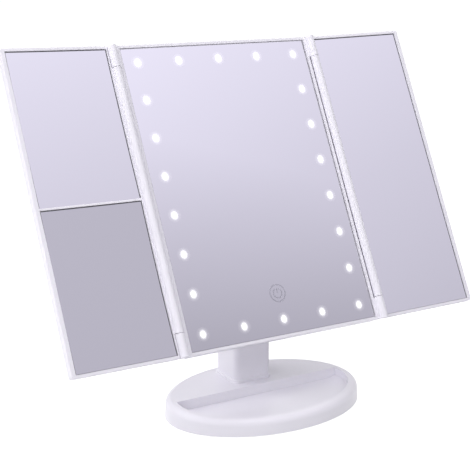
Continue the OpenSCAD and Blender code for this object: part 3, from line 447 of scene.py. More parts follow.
def add_rod(name, axis, centre, radius, start, stop, vertices=64):
    """A cylinder primitive along an axis between two distances; centre's own entry on it is ignored."""
    clear_selection()
    place = Vector(centre)
    place["XYZ".index(axis)] = (start + stop) / 2
    turned = {"X": (0, math.pi / 2, 0), "Y": (math.pi / 2, 0, 0), "Z": (0, 0, 0)}[axis]
    bpy.ops.mesh.primitive_cylinder_add(
        vertices=vertices, radius=radius, depth=abs(stop - start), location=place, rotation=turned
    )
    piece = bpy.context.object
    piece.name = name
    set_transform(piece)
    return piece


def round_edges(piece, test, radius, segments=4):
    """Bevels the edges that the test picks."""
    begin(piece)
    pick(piece, "EDGE", test)
    bpy.ops.mesh.bevel(offset=radius, offset_type="OFFSET", segments=segments, profile=0.5, affect="EDGES")
    end()


def along(axis):
    """Test for edges that run along an axis."""
    index = "XYZ".index(axis)

    def test(edge):
        way = edge.verts[1].co - edge.verts[0].co
        return way.length > NEAR and abs(way[index]) > 0.999 * way.length

    return test


def level(axis, value):
    """Test for items that lie wholly at one place along an axis."""
    index = "XYZ".index(axis)

    def test(item):
        vertices = [item] if isinstance(item, bmesh.types.BMVert) else item.verts
        return all(abs(vertex.co[index] - value) < NEAR for vertex in vertices)

    return test


def sink(piece, axis, place, low, high, depth):
    """Sinks a rectangular pocket into the flat face at one place along an axis.

    low and high are the pocket's corners in the two other axes, and depth moves its floor along the axis.
    """
    index = "XYZ".index(axis)
    others = [i for i in range(3) if i != index]
    begin(piece)
    pick(piece, "FACE", level(axis, place))
    mesh = bmesh.from_edit_mesh(piece.data)
    face = max((f for f in mesh.faces if f.select), key=lambda f: f.calc_area())
    ends = [(min(v.co[i] for v in face.verts), max(v.co[i] for v in face.verts)) for i in others]
    margin = min(min(low[k] - ends[k][0], ends[k][1] - high[k]) for k in range(2))
    bpy.ops.mesh.inset(thickness=margin, depth=0, use_even_offset=True)
    scale, shift = [1.0] * 3, [0.0] * 3
    for k, i in enumerate(others):
        now = (ends[k][0] + margin, ends[k][1] - margin)
        scale[i] = (high[k] - low[k]) / (now[1] - now[0])
        shift[i] = (high[k] + low[k] - now[0] - now[1]) / 2
    bpy.ops.transform.resize(value=scale)
    bpy.ops.transform.translate(value=shift)
    move = [0.0] * 3
    move[index] = depth
    extrude(move)
    end()


def use_modifier(piece, kind, **values):
    """Adds a modifier with these values and applies it."""
    take(piece)
    modifier = piece.modifiers.new(kind.title(), kind)
    for name, value in values.items():
        setattr(modifier, name, value)
    bpy.ops.object.modifier_apply(modifier=modifier.name)


def carve(piece, *tools, operation="DIFFERENCE"):
    """Cuts the tools out of the piece, or fuses them with it, and removes them."""
    for tool in tools:
        use_modifier(piece, "BOOLEAN", operation=operation, object=tool, solver="EXACT")
        bpy.data.objects.remove(tool, do_unlink=True)


def fuse(piece, *parts):
    carve(piece, *parts, operation="UNION")


def gather(name, pieces):
    """Joins pieces into one."""
    clear_selection()
    for piece in pieces:
        piece.select_set(True)
    bpy.context.view_layer.objects.active = pieces[0]
    bpy.ops.object.join()
    pieces[0].name = name
    return pieces[0]


def copy_of(piece, name, move=(0, 0, 0)):
    """A copy of the piece with its own mesh, moved."""
    twin = piece.copy()
    twin.data = piece.data.copy()
    twin.name = name
    bpy.context.scene.collection.objects.link(twin)
    twin.location = move
    set_transform(twin)
    return twin


def soften(piece, radius, segments=2, angle=38):
    """Rounds every edge that is still sharp."""
    use_modifier(
        piece, "BEVEL", width=radius, segments=segments, limit_method="ANGLE",
        angle_limit=math.radians(angle), use_clamp_overlap=True, miter_outer="MITER_ARC",
    )


def smooth(piece, angle=40):
    take(piece)
    bpy.ops.object.shade_smooth_by_angle(angle=math.radians(angle), keep_sharp_edges=False)
    use_modifier(piece, "WEIGHTED_NORMAL", keep_sharp=True, weight=80)


def settle(piece, place=None):
    """Puts the piece in its place and turns its faces outwards."""
    if place is not None:
        piece.matrix_world = place
        set_transform(piece)
    begin(piece, whole=True)
    bpy.ops.mesh.remove_doubles(threshold=WELD)
    bpy.ops.mesh.normals_make_consistent(inside=False)
    end()


def hand_over(piece, body, material, stands_for=()):
    """Gives the piece its finish, its body and the nodes that it stands for."""
    if not piece.data.materials:
        piece.data.materials.append(material)
    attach(piece, body)
    if stands_for:
        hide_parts(*stands_for)


def finish_moulding(piece, body, node, place=None, angle=40):
    """Puts a white moulding in its place, smooths it and hands it over for its node."""
    settle(piece, place)
    smooth(piece, angle)
    hand_over(piece, body, finish_for("white_plastic"), (node,))


# ---------- finishes ----------


def new_finish(name):
    """A material with its shader and output, or the one of that name that is there already."""
    material = bpy.data.materials.get(name)
    if material:
        return material, None
    material = bpy.data.materials.new(name)
    material.use_nodes = True
    return material, material.node_tree.nodes["Principled BSDF"]


def add_node(owner, kind, sources=None, **values):
    """Adds a node to a material or a world, with its own settings and with what its inputs get."""
    node = owner.node_tree.nodes.new(kind)
    for name, value in values.items():
        setattr(node, name, value)
    wire(owner, node, sources or {})
    return node


def wire(owner, node, sources):
    """Links the node's inputs to these sockets, or sets them to these values, by name or by number."""
    for key, source in sources.items():
        if isinstance(source, bpy.types.NodeSocket):
            owner.node_tree.links.new(source, node.inputs[key])
        else:
            node.inputs[key].default_value = source


def place_nodes(material, scale=(1, 1, 1)):
    """Object coordinates through a Mapping node."""
    where = add_node(material, "ShaderNodeTexCoord").outputs["Object"]
    return add_node(material, "ShaderNodeMapping", {"Vector": where, "Scale": scale}).outputs["Vector"]


def noise(material, vector, scale, detail=2.0, roughness=0.5):
    return add_node(material, "ShaderNodeTexNoise", {
        "Vector": vector, "Scale": scale, "Detail": detail, "Roughness": roughness,
    }).outputs["Fac"]


def spread(owner, value, low, high, start=PATTERN[0], stop=PATTERN[1], **values):
    """Maps a pattern to a range of numbers."""
    return add_node(owner, "ShaderNodeMapRange", {
        "Value": value, "From Min": start, "From Max": stop, "To Min": low, "To Max": high,
    }, **values).outputs["Result"]


def colour_ramp(owner, value, stops):
    """Runs a value through colours at these places."""
    ramp = add_node(owner, "ShaderNodeValToRGB", {"Fac": value})
    elements = ramp.color_ramp.elements
    for number, (place, tone) in enumerate(stops):
        stop = elements[number] if number < 2 else elements.new(place)
        stop.position, stop.color = place, (*tone, 1)
    return ramp.outputs["Color"]


def blend_colours(material, value, first, second):
    """Runs a pattern between two colours."""
    return colour_ramp(material, value, zip(PATTERN, (first, second)))


def bump(material, height, strength):
    return add_node(material, "ShaderNodeBump", {
        "Height": height, "Strength": strength, "Distance": RELIEF,
    }).outputs["Normal"]


def scaled(tone, factor):
    return tuple(min(1.0, channel * factor) for channel in tone)


def moulded_plastic(name, tone, roughness):
    """Gloss-moulded plastic: hardly visible flow in its colour, and a fine unevenness in its surface."""
    material, shader = new_finish(name)
    if shader:
        vector = place_nodes(material)
        flow = noise(material, vector, 22.0, 3.0)
        wire(material, shader, {
            "Base Color": blend_colours(material, flow, scaled(tone, 0.985), scaled(tone, 1.01)),
            "Roughness": roughness,
            "Normal": bump(material, noise(material, vector, 260.0), 0.015),
            "IOR": 1.5,
            "Coat Weight": 0.15,
            "Coat Roughness": 0.12,
        })
    return material


def silver_and_painted_fade(material, vector, tone, foot, low, high, slant):
    """The silver's tint, with painted reflection on it that grows darker towards the foot of the glass, between
    two heights above the table.

    slant is how far these heights sink for each unit that the glass goes to the right.
    """
    parts = add_node(material, "ShaderNodeSeparateXYZ", {"Vector": vector}).outputs
    height = parts["Z"]
    for value, factor in ((noise(material, vector, 9.0), WAVER), (parts["X"], slant)):
        height = add_node(material, "ShaderNodeMath", {0: value, 1: factor, 2: height},
                          operation="MULTIPLY_ADD").outputs["Value"]
    # painted reflection: darker towards the foot
    up = spread(material, height, *PATTERN, low, high)
    return blend_colours(material, up, scaled(tone, foot * 0.998), tone)


def silvered_glass(name, tone, foot=1.0, low=PAINTED_FADE_LOW, high=PAINTED_FADE_HIGH, slant=0.0):
    """Mirror glass: silvered, with painted reflection that darkens it towards its foot where foot is below 1,
    and a breath of unevenness in its polish.
    """
    material, shader = new_finish(name)
    if shader:
        vector = place_nodes(material)
        wire(material, shader, {
            "Base Color": silver_and_painted_fade(material, vector, tone, foot, low, high, slant),
            "Roughness": spread(material, noise(material, vector, 60.0, 5.0), 0.0, 0.02),
            "Metallic": 1.0,
        })
    return material


def lit_lens(name, tone, silver, foot, power):
    """Window over a lamp: shines white, and fades into the silvered glass round it, which carries the middle
    glass's painted reflection fade.
    """
    material, shader = new_finish(name)
    if shader:
        fade = add_node(material, "ShaderNodeAttribute", attribute_name="fade").outputs["Fac"]
        vector = place_nodes(material)
        wire(material, shader, {
            "Emission Strength": spread(material, fade, power, 0.0, 0.0, 1.0),
            "Emission Color": (*tone, 1),
            # the silver round the core, with the middle glass's painted reflection fade
            "Base Color": silver_and_painted_fade(material, vector, silver, foot, PAINTED_FADE_LOW, PAINTED_FADE_HIGH, PAINTED_FADE_SLANT),
            "Metallic": fade,
            "Roughness": spread(material, fade, 0.35, 0.02, 0.0, 1.0),
        })
    return material


def plain_finish(name, first, second, roughness, scale, metallic=0.0, stretch=(1, 1, 1), grain=0.1):
    """A finish with a two-tone pattern, uneven roughness and a fine relief."""
    material, shader = new_finish(name)
    if shader:
        vector = place_nodes(material, stretch)
        pattern = noise(material, vector, scale, 4.0, 0.6)
        wire(material, shader, {
            "Base Color": blend_colours(material, pattern, first, second),
            "Roughness": spread(material, pattern, roughness * 0.8, min(1.0, roughness * 1.25)),
            "Normal": bump(material, noise(material, vector, scale * 4), grain),
            "Metallic": metallic,
        })
    return material


def finish_for(slot):
    """The finish of each of the record's material slots."""
    finishes = bpy.context.scene.vanity_mirror.finishes
    if slot == "white_plastic":
        return moulded_plastic("White moulding", finishes.plastic, finishes.plastic_gloss)
    if slot == "mirror":
        return silvered_glass("Silvered glass", finishes.silver)
    if slot == "lamp":
        # the lens's silver carries the middle glass's painted brightness and fade
        silver = scaled(finishes.silver, finishes.middle)
        return lit_lens("Lit lens", finishes.glow, silver, finishes.foot, finishes.glow_power)
    return plain_finish(*PLAIN_FINISHES[slot])


class VANITY_OT_finishes(Operator):
    """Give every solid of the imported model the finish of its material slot"""

    bl_idname = "vanity.finishes"
    bl_label = "Finish the solids"

    def execute(self, context):
        for part in frame["record"]["subparts"]:
            node = frame["nodes"][part["node"]]
            node.data.materials.clear()
            node.data.materials.append(finish_for(part["material_slot"]))
        return {"FINISHED"}


# ---------- base and post ----------


class VANITY_OT_base(Operator):
    """Model the oval base with its soft top edge and its dished tray"""

    bl_idname = "vanity.base"
    bl_label = "Base with tray"

    def execute(self, context):
        layout, base = read_settings("base")
        half_x, half_y = base.width / 2, base.depth / 2
        shell = self.oval("base_moulding", half_x, half_y, base.rim)
        begin(shell, whole=True)
        extrude((0, 0, base.top - base.rim))
        bpy.ops.transform.resize(value=(1 - base.lean / half_x, 1 - base.lean / half_y, 1))
        # the top is tipped up towards the back
        bpy.ops.transform.rotate(value=-base.rise, orient_axis="X", center_override=(0, 0, base.top))
        pick(shell, "EDGE", layout.on_deck)
        bpy.ops.mesh.bevel(offset=base.edge, segments=8, profile=0.5, affect="EDGES")
        # the recess underneath, which the closing plate fills
        pick(shell, "FACE", level("Z", base.rim))
        bpy.ops.mesh.inset(thickness=base.wall, depth=0, use_even_offset=True)
        extrude((0, 0, base.recess))
        end()
        carve(shell, self.tray_tool(base, half_x, half_y))
        self.roll_tray(shell, base, layout)
        finish_moulding(shell, "base", "base_shell", angle=30)
        return {"FINISHED"}

    def oval(self, name, half_x, half_y, height):
        """A flat filled oval at a height."""
        clear_selection()
        bpy.ops.mesh.primitive_circle_add(vertices=160, radius=1, fill_type="NGON", location=(0, 0, height))
        sheet = bpy.context.object
        sheet.name = name
        sheet.scale = (half_x, half_y, 1)
        set_transform(sheet)
        return sheet

    def tray_tool(self, base, half_x, half_y):
        """The half-moon body of the tray: it rises in a curve at the front, and it is straight behind."""
        steps = 8
        floor = base.top - base.tray_depth
        inset = base.tray_rim + base.tray_dish
        height = floor
        tool = self.oval("tray", half_x - inset, half_y - inset, floor)
        begin(tool, whole=True)
        for step in range(1, steps + 2):
            angle = math.radians(90) * min(1.0, step / steps)
            if step <= steps:
                new_inset = base.tray_rim + base.tray_dish * (1 - math.sin(angle))
                new_height = floor + base.tray_swell * (1 - math.cos(angle))
            else:
                new_inset, new_height = inset, base.top + 4 * MM
            extrude((0, 0, new_height - height))
            bpy.ops.transform.resize(value=(
                (half_x - new_inset) / (half_x - inset), (half_y - new_inset) / (half_y - inset), 1
            ))
            inset, height = new_inset, new_height
        bpy.ops.mesh.select_all(action="SELECT")
        lean = Vector((0, base.tray_depth, -base.tray_lean)).normalized()
        bpy.ops.mesh.bisect(
            plane_co=(0, base.tray_back, base.top), plane_no=lean, clear_outer=True, use_fill=True
        )
        bpy.ops.mesh.select_all(action="SELECT")
        bpy.ops.mesh.normals_make_consistent(inside=False)
        end()
        return tool

    def roll_tray(self, shell, base, layout):
        """Rolls the tray's front edge, and softens its straight edge and the foot of its straight wall."""
        floor = base.top - base.tray_depth
        foot_radius, straight_share, sharp = 1.2 * MM, 0.2, math.radians(40)
        margin = base.lean + base.edge + 0.5 * MM
        inside_x, inside_y = base.width / 2 - margin, base.depth / 2 - margin

        def in_tray(edge):
            place = middle(edge)
            return (place.x / inside_x) ** 2 + (place.y / inside_y) ** 2 < 1

        def straight(edge):
            return along("X")(edge) and middle(edge).y > base.tray_back - 2 * MM

        for place, radius, share in (
            (layout.on_deck, base.tray_roll, straight_share), (level("Z", floor), foot_radius, 1.0),
        ):
            begin(shell)
            bpy.ops.mesh.select_mode(type="EDGE")
            bpy.ops.mesh.select_all(action="SELECT")
            bpy.ops.transform.edge_bevelweight(value=-1)

            def outline(edge):
                folded = len(edge.link_faces) == 2 and edge.calc_face_angle(0) > sharp
                return place(edge) and in_tray(edge) and folded

            if place is layout.on_deck:
                pick(shell, "EDGE", lambda edge: outline(edge) and not straight(edge))
                bpy.ops.transform.edge_bevelweight(value=1)
            pick(shell, "EDGE", lambda edge: outline(edge) and straight(edge))
            bpy.ops.transform.edge_bevelweight(value=share)
            end()
            use_modifier(shell, "BEVEL", width=radius, segments=6, limit_method="WEIGHT")


class VANITY_OT_post(Operator):
    """Model the post with its collar, shoulder and tilt tongue"""

    bl_idname = "vanity.post"
    bl_label = "Post"

    def execute(self, context):
        layout, base, post, back, head = read_settings("base", "post", "back", "head")
        front, rear = post.middle - post.depth / 2, post.middle + post.depth / 2
        shoulder = post.pivot - post.shoulder
        half = post.width / 2
        foot = base.top - MM
        shoulder_edge, edge, running_fit = 0.9 * MM, 0.35 * MM, 0.06 * MM
        column = add_block("post_moulding", (-half, front, foot), (half, rear, shoulder))
        round_edges(column, along("Z"), post.corner, 8)
        round_edges(column, level("Z", shoulder), shoulder_edge, 4)
        out = post.collar_out
        crown = layout.seat + post.collar
        collar = add_block("collar", (-half - out, front - out, foot), (half + out, rear + out, crown))
        round_edges(collar, along("Z"), post.corner + out, 8)
        round_edges(collar, level("Z", crown), out * 0.85, 4)
        # a little shallower than the post, so that no faces fall together
        set_back = 0.1 * MM
        tongue = add_block("tongue", (-post.tongue / 2, front + set_back, shoulder - 2 * MM),
                           (post.tongue / 2, rear - set_back, post.pivot))
        knob = add_rod("knob", "X", (0, post.middle, post.pivot), post.depth / 2 - set_back,
                       -post.tongue / 2, post.tongue / 2, 96)
        fuse(tongue, knob)
        # the seat of the panel in the back
        panel_low, panel_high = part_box("post_panel")
        seat = add_block("seat", (panel_low.x - head.fit, panel_low.y, panel_low.z - head.fit),
                         (panel_high.x + head.fit, rear + MM, panel_high.z + head.fit))
        carve(column, seat)
        bore = add_rod("bore", "X", (0, post.middle, post.pivot), back.bolt + running_fit, -half, half)
        carve(tongue, bore)
        for part in (column, tongue):
            soften(part, edge, 2, 50)
        fuse(column, tongue, collar)
        finish_moulding(column, "base", "post", angle=35)
        return {"FINISHED"}


# ---------- mouldings of the head ----------


def round_outline(piece, ends, half_z, corner, faces):
    """Rounds the corners of a slab seen from in front, then its outline at these places along Y."""
    centre, half_x = sum(ends) / 2, (ends[1] - ends[0]) / 2

    def past(edge):
        """How far the edge's middle lies past the outline, sideways and upwards."""
        place = middle(edge)
        return abs(place.x - centre) - half_x, abs(place.z) - half_z

    def on_outline(edge):
        across, up = past(edge)
        if min(across, up) > -corner:
            return math.hypot(across + corner, up + corner) > corner * 0.9
        return max(across, up) > -NEAR

    round_edges(piece, lambda e: along("Y")(e) and min(past(e)) > -NEAR, corner, 6)
    for place, radius in faces:
        round_edges(piece, lambda e: level("Y", place)(e) and on_outline(e), radius, 4)


class VANITY_OT_middle(Operator):
    """Model the middle frame with its fixed hinge knuckles and coves"""

    bl_idname = "vanity.middle"
    bl_label = "Middle frame"

    def execute(self, context):
        layout, head, wings = read_settings("head", "wings")
        x, z = layout.frame_x, layout.frame_z
        body = add_block("centre_moulding", (-x, -head.lip, -z), (x, head.seam, z))
        corners = (-layout.pocket_x, -layout.pocket_z), (layout.pocket_x, layout.pocket_z)
        sink(body, "Y", -head.lip, *corners, head.lip + head.seat)
        sink(body, "Y", head.seam, *corners, head.seat + head.web - head.seam)
        round_outline(body, (-x, x), z, head.corner, ((-head.lip, head.lip_edge),))
        parts = []
        for side in (-1, 1):
            hinge = (side * layout.hinge_x, -wings.proud, 0)
            inner, outer = side * (x - MM), side * layout.cove_x
            cove = add_block("cove", (min(inner, outer), layout.cove_front, -z + OVERLAP),
                             (max(inner, outer), wings.depth, z - OVERLAP))
            room = add_rod("room", "Z", hinge, wings.barrel + wings.cove_gap,
                           -layout.knuckle_z, layout.knuckle_z)
            carve(cove, room)
            parts.append(cove)
            for end_z in (-1, 1):
                start, stop = sorted((end_z * layout.knuckle_z, end_z * z))
                knuckle = add_rod("knuckle", "Z", hinge, wings.barrel, start, stop)
                round_edges(knuckle, level("Z", end_z * z), 0.6 * MM, 4)
                web = add_block("web", (min(inner, hinge[0]), -wings.proud - WEB_FRONT, start + 0.05 * MM),
                                (max(inner, hinge[0]), wings.web - wings.proud, stop - 0.4 * MM))
                parts += [knuckle, web]
        fuse(body, *parts)
        soften(body, FRAME_BEVEL, 2, 45)
        finish_moulding(body, "head", "centre_frame", layout.head)
        return {"FINISHED"}


class VANITY_OT_wings(Operator):
    """Model both wings with their barrels, and the bar between the dished glasses"""

    bl_idname = "vanity.wings"
    bl_label = "Wings"

    def execute(self, context):
        layout, head, wings = read_settings("head", "wings")
        right = self.wing(layout, head, wings, "right_wing_moulding", wings.plain_seat)
        left = self.wing(layout, head, wings, "left_wing_moulding", wings.floor)
        low, high = layout.wing_pocket
        front, bar_edge = wings.bar_low - head.lip, 0.35 * MM
        bar = add_block("bar", (low - OVERLAP, front, wings.bar_height - wings.bar_width / 2),
                        (high + OVERLAP, wings.floor + OVERLAP, wings.bar_height + wings.bar_width / 2))
        round_edges(bar, lambda e: along("X")(e) and level("Y", front)(e), bar_edge, 4)
        fuse(left, bar)
        for piece, place, node, body in (
            (right, layout.right_wing, "right_wing_frame", "right_wing"),
            (left, layout.left_wing, "left_wing_frame", "left_wing"),
        ):
            soften(piece, FRAME_BEVEL, 2, 45)
            finish_moulding(piece, body, node, place)
        return {"FINISHED"}

    def wing(self, layout, head, wings, name, seat):
        """One wing, drawn flat on the right: its pan, rim, barrel and the room for the fixed knuckles."""
        z, start, stop = layout.frame_z, layout.wing_in, layout.wing_out
        pan = add_block(name, (start, -head.lip, -z), (stop, wings.depth, z))
        low, high = layout.wing_pocket
        sink(pan, "Y", -head.lip, (low, -layout.pocket_z), (high, layout.pocket_z), head.lip + seat)
        round_outline(pan, (start, stop), z, head.corner,
                      ((-head.lip, head.lip_edge), (wings.depth, wings.back_edge)))
        hinge = (layout.hinge_x, -wings.proud, 0)
        barrel = add_rod("barrel", "Z", hinge, wings.barrel, -layout.barrel_z, layout.barrel_z)
        round_edges(barrel, lambda e: level("Z", layout.barrel_z)(e) or level("Z", -layout.barrel_z)(e),
                    0.25 * MM, 3)
        web = add_block("web", (layout.hinge_x, -wings.proud - WEB_FRONT, -layout.barrel_z + 0.3 * MM),
                        (start + MM, wings.web - wings.proud, layout.barrel_z - 0.3 * MM))
        for side in (-1, 1):
            ends = sorted((side * layout.barrel_z, side * (z + MM)))
            carve(pan, add_rod("room", "Z", hinge, wings.barrel + head.fit, *ends))
        fuse(pan, web, barrel)
        return pan


def grind_and_shade_band(piece, name, tone, test):
    """Gives the piece the mirror finish where the test holds for a face, and elsewhere a ground-edge finish,
    which on the front is a painted shade band.
    """
    piece.data.materials.append(None)
    piece.data.materials.append(plain_finish(name, scaled(tone, 0.9), tone, 0.5, 900.0, grain=0.05))
    for face in piece.data.polygons:
        face.material_index = 0 if test(face) else 1


class VANITY_OT_plain_glasses(Operator):
    """Model the middle glass with its windows for the lights, and the plain glass of the right wing"""

    bl_idname = "vanity.plain_glasses"
    bl_label = "Plain glasses"

    def execute(self, context):
        layout, head, wings, lights, finishes = read_settings("head", "wings", "lights", "finishes")
        half_x = head.glass_width / 2
        # each glass gets a painted shade band at its top and sides
        # it reaches to the left rim, so that the wide gap is on the right alone
        broad = self.glass("middle_mirror", (head.fit - layout.pocket_x, half_x), head, lights.glass,
                           "Ground edge, middle", finishes.middle_edge_and_shade_band)
        windows = [
            add_rod("window", "Y", (x, 0, z), lights.window, -MM, lights.glass + MM, 48)
            for x, z in light_places(head, lights)
        ]
        carve(broad, gather("windows", windows))
        settle(broad, layout.head)
        # painted reflection: the middle glass is painted brighter, and darker towards its foot
        broad.data.materials[0] = silvered_glass(
            "Silvered glass, middle", scaled(finishes.silver, finishes.middle), finishes.foot, slant=PAINTED_FADE_SLANT)
        hand_over(broad, "head", None, ("centre_glass",))
        low, high = layout.wing_pocket
        narrow = self.glass("right_mirror", (low + head.fit, high - head.fit), head, wings.plain,
                            "Ground edge", finishes.edge_and_shade_band)
        settle(narrow, layout.right_wing)
        narrow.data.materials[0] = finish_for("mirror")
        hand_over(narrow, "right_wing", None, ("right_glass",))
        return {"FINISHED"}

    def glass(self, name, side, head, thickness, edge_and_shade_name, edge_and_shade_tone):
        """A flat sheet whose front has a narrow dark band at its top and its sides, painted shade beside the
        rim; its sides and back take the ground-edge finish.
        """
        half_z = head.glass_height / 2
        sheet = add_block(name, (side[0], 0, -half_z), (side[1], thickness, half_z))
        begin(sheet)
        pick(sheet, "FACE", level("Y", 0))
        # the ring that this inset makes becomes the painted shade band
        bpy.ops.mesh.inset(thickness=head.edge_and_shade_band, depth=0)
        end()

        def silvered(face):
            place = face.center
            inside = min(place.x - side[0], side[1] - place.x, half_z - place.z) > head.edge_and_shade_band
            return abs(place.y) < NEAR and inside

        grind_and_shade_band(sheet, edge_and_shade_name, edge_and_shade_tone, silvered)
        return sheet


class VANITY_OT_dished_glasses(Operator):
    """Model the two magnifying glasses as smooth hollows"""

    bl_idname = "vanity.dished_glasses"
    bl_label = "Magnifying glasses"

    def execute(self, context):
        layout, head, wings, finishes = read_settings("head", "wings", "finishes")
        low, high = layout.wing_pocket
        side = (low + head.fit, high - head.fit)
        end_z = head.glass_height / 2
        half_bar = wings.bar_width / 2
        # painted reflection: the lower glass is painted darker all over, and the upper one darker towards its
        # foot
        strong = silvered_glass("Silvered glass, strong", scaled(finishes.silver, finishes.strong))
        mild = silvered_glass("Silvered glass, mild", finishes.silver, finishes.upper_foot, 0.15, 0.27)
        for name, node, ends, curve, finish in (
            ("lower_mirror", "left_lower_glass", (-end_z, wings.bar_height - half_bar - head.fit),
             wings.lower_curve, strong),
            ("upper_mirror", "left_upper_glass", (wings.bar_height + half_bar, end_z),
             wings.upper_curve, mild),
        ):
            glass = self.dish(name, side, ends, curve, wings.dished, head.edge_and_shade_band)
            glass.data.materials[0] = finish
            settle(glass, layout.left_wing)
            smooth(glass, 30)
            hand_over(glass, "left_wing", None, (node,))
        return {"FINISHED"}

    def dish(self, name, side, ends, curve, thickness, edge_and_shade_band):
        """A sheet drawn onto a ball round its object's origin, then given its thickness behind it."""
        half_x, half_z = (side[1] - side[0]) / 2, (ends[1] - ends[0]) / 2
        hollow = curve - math.sqrt(curve**2 - half_x**2 - half_z**2)
        clear_selection()
        bpy.ops.mesh.primitive_grid_add(x_subdivisions=36, y_subdivisions=48, size=2)
        glass = bpy.context.object
        glass.name = name
        glass.scale = (half_x, half_z, 1)
        glass.rotation_euler = (math.pi / 2, 0, 0)
        set_transform(glass)
        begin(glass, whole=True)
        # the ring that this inset makes becomes the painted shade band at the top and the sides
        bpy.ops.mesh.inset(thickness=edge_and_shade_band, depth=0, use_boundary=True)
        end()
        tone = bpy.context.scene.vanity_mirror.finishes.edge_and_shade_band
        grind_and_shade_band(glass, "Ground edge", tone,
              lambda face: min(half_x - abs(face.center.x), half_z - face.center.z) > edge_and_shade_band)
        begin(glass, whole=True)
        bpy.ops.transform.translate(value=(0, curve, 0))
        end()
        use_modifier(glass, "CAST", cast_type="SPHERE", factor=1.0, radius=0.0, size=curve,
                     use_radius_as_size=False)
        glass.location = ((side[0] + side[1]) / 2, hollow - curve, (ends[0] + ends[1]) / 2)
        set_transform(glass)
        use_modifier(glass, "SOLIDIFY", thickness=thickness, offset=-1.0)
        return glass


# ---------- lights and touch mark ----------


def light_places(head, lights):
    """Places along both ends of the glass, and down both sides between the corner lights."""
    reach_x = head.glass_width / 2 - lights.inset_x
    reach_z = head.glass_height / 2 - lights.inset_z
    for side in (-1, 1):
        for i in range(lights.across):
            yield -reach_x + 2 * reach_x * i / (lights.across - 1), side * reach_z
        for i in range(1, lights.beside + 1):
            yield side * reach_x, -reach_z + 2 * reach_z * i / (lights.beside + 1)


class VANITY_OT_lenses(Operator):
    """Model one light lens and set a copy of it in every window of the middle glass"""

    bl_idname = "vanity.lenses"
    bl_label = "Light lenses"

    def execute(self, context):
        layout, head, lights = read_settings("head", "lights")
        lens = add_rod("light_lens", "Y", (0, 0, 0), lights.window, 0, lights.glass, 48)
        begin(lens)
        pick(lens, "FACE", level("Y", 0))
        for step in LENS_STEPS:
            bpy.ops.mesh.inset(thickness=lights.window * step, depth=0)
        bpy.ops.mesh.poke()
        end()
        for number, (x, z) in enumerate(light_places(head, lights), 1):
            twin = copy_of(lens, f"light_lens_{number:02d}", (x, 0, z))
            self.mark_fade(twin, x, z, lights)
            settle(twin, layout.head)
            hand_over(twin, "head", finish_for("lamp"), ("light_windows",) if number == 1 else ())
        bpy.data.objects.remove(lens, do_unlink=True)
        return {"FINISHED"}

    def mark_fade(self, lens, x, z, lights):
        """Writes how far each point of the lens has faded into the silvering, from its core outwards."""
        fade = lens.data.attributes.new("fade", "FLOAT", "POINT")
        for vertex, value in zip(lens.data.vertices, fade.data):
            across, up = (vertex.co.x - x) / lights.window, (vertex.co.z - z) / lights.window
            away = math.hypot(across / lights.slim, up)
            lit = max(0.0, min(1.0, (lights.veil - away) / (lights.veil - lights.core)))
            on_edge = math.hypot(across, up) > LENS_EDGE
            value.value = 1.0 if on_edge else (1 - lights.halo) * (1 - lit * lit)


class VANITY_OT_touch_mark(Operator):
    """Model the printed touch mark: a ring with the standby sign in it"""

    bl_idname = "vanity.touch_mark"
    bl_label = "Touch mark"

    def execute(self, context):
        layout, head, lights, finishes = read_settings("head", "lights", "finishes")
        centre_z = lights.mark_height - head.glass_height / 2
        line, deep = lights.mark_line, lights.print_depth
        ring = self.arc("touch_mark", lights.mark, line, deep, math.tau, 96)
        sign = self.arc("sign", lights.sign, line, deep, math.radians(304), 48)
        stroke = add_block("stroke", (-line / 2, -deep, 0.1 * MM), (line / 2, -0.002 * MM, lights.sign))
        mark = gather("touch_mark", [ring, sign, stroke])
        mark.location = (0, 0, centre_z)
        set_transform(mark)
        settle(mark, layout.head)
        smooth(mark, 30)
        finish = plain_finish("Mark print", scaled(finishes.mark, 0.97), finishes.mark, 0.9, 900.0, grain=0.0)
        hand_over(mark, "head", finish)
        return {"FINISHED"}

    def arc(self, name, radius, line, deep, sweep, steps):
        """A flat line spun about the mark's centre, open at the top where it isn't a whole ring."""
        start = (math.tau - sweep) / 2
        stroke = add_block(name, (-line / 2, -deep, 0), (line / 2, -0.002 * MM, line))
        begin(stroke)
        pick(stroke, "FACE", lambda f: f.normal.z < 0.9)
        bpy.ops.mesh.delete(type="FACE")
        pick(stroke, "FACE", lambda f: True)
        bpy.ops.transform.rotate(value=math.pi / 2, orient_axis="Y", center_override=(0, 0, line))
        bpy.ops.transform.translate(value=(0, 0, radius - line))
        bpy.ops.transform.rotate(value=start, orient_axis="Y", center_override=(0, 0, 0))
        bpy.ops.mesh.spin(steps=steps, angle=sweep, center=(0, 0, 0), axis=(0, 1, 0))
        bpy.ops.mesh.select_all(action="SELECT")
        bpy.ops.mesh.remove_doubles(threshold=WELD)
        end()
        return stroke


# ---------- back of the head ----------


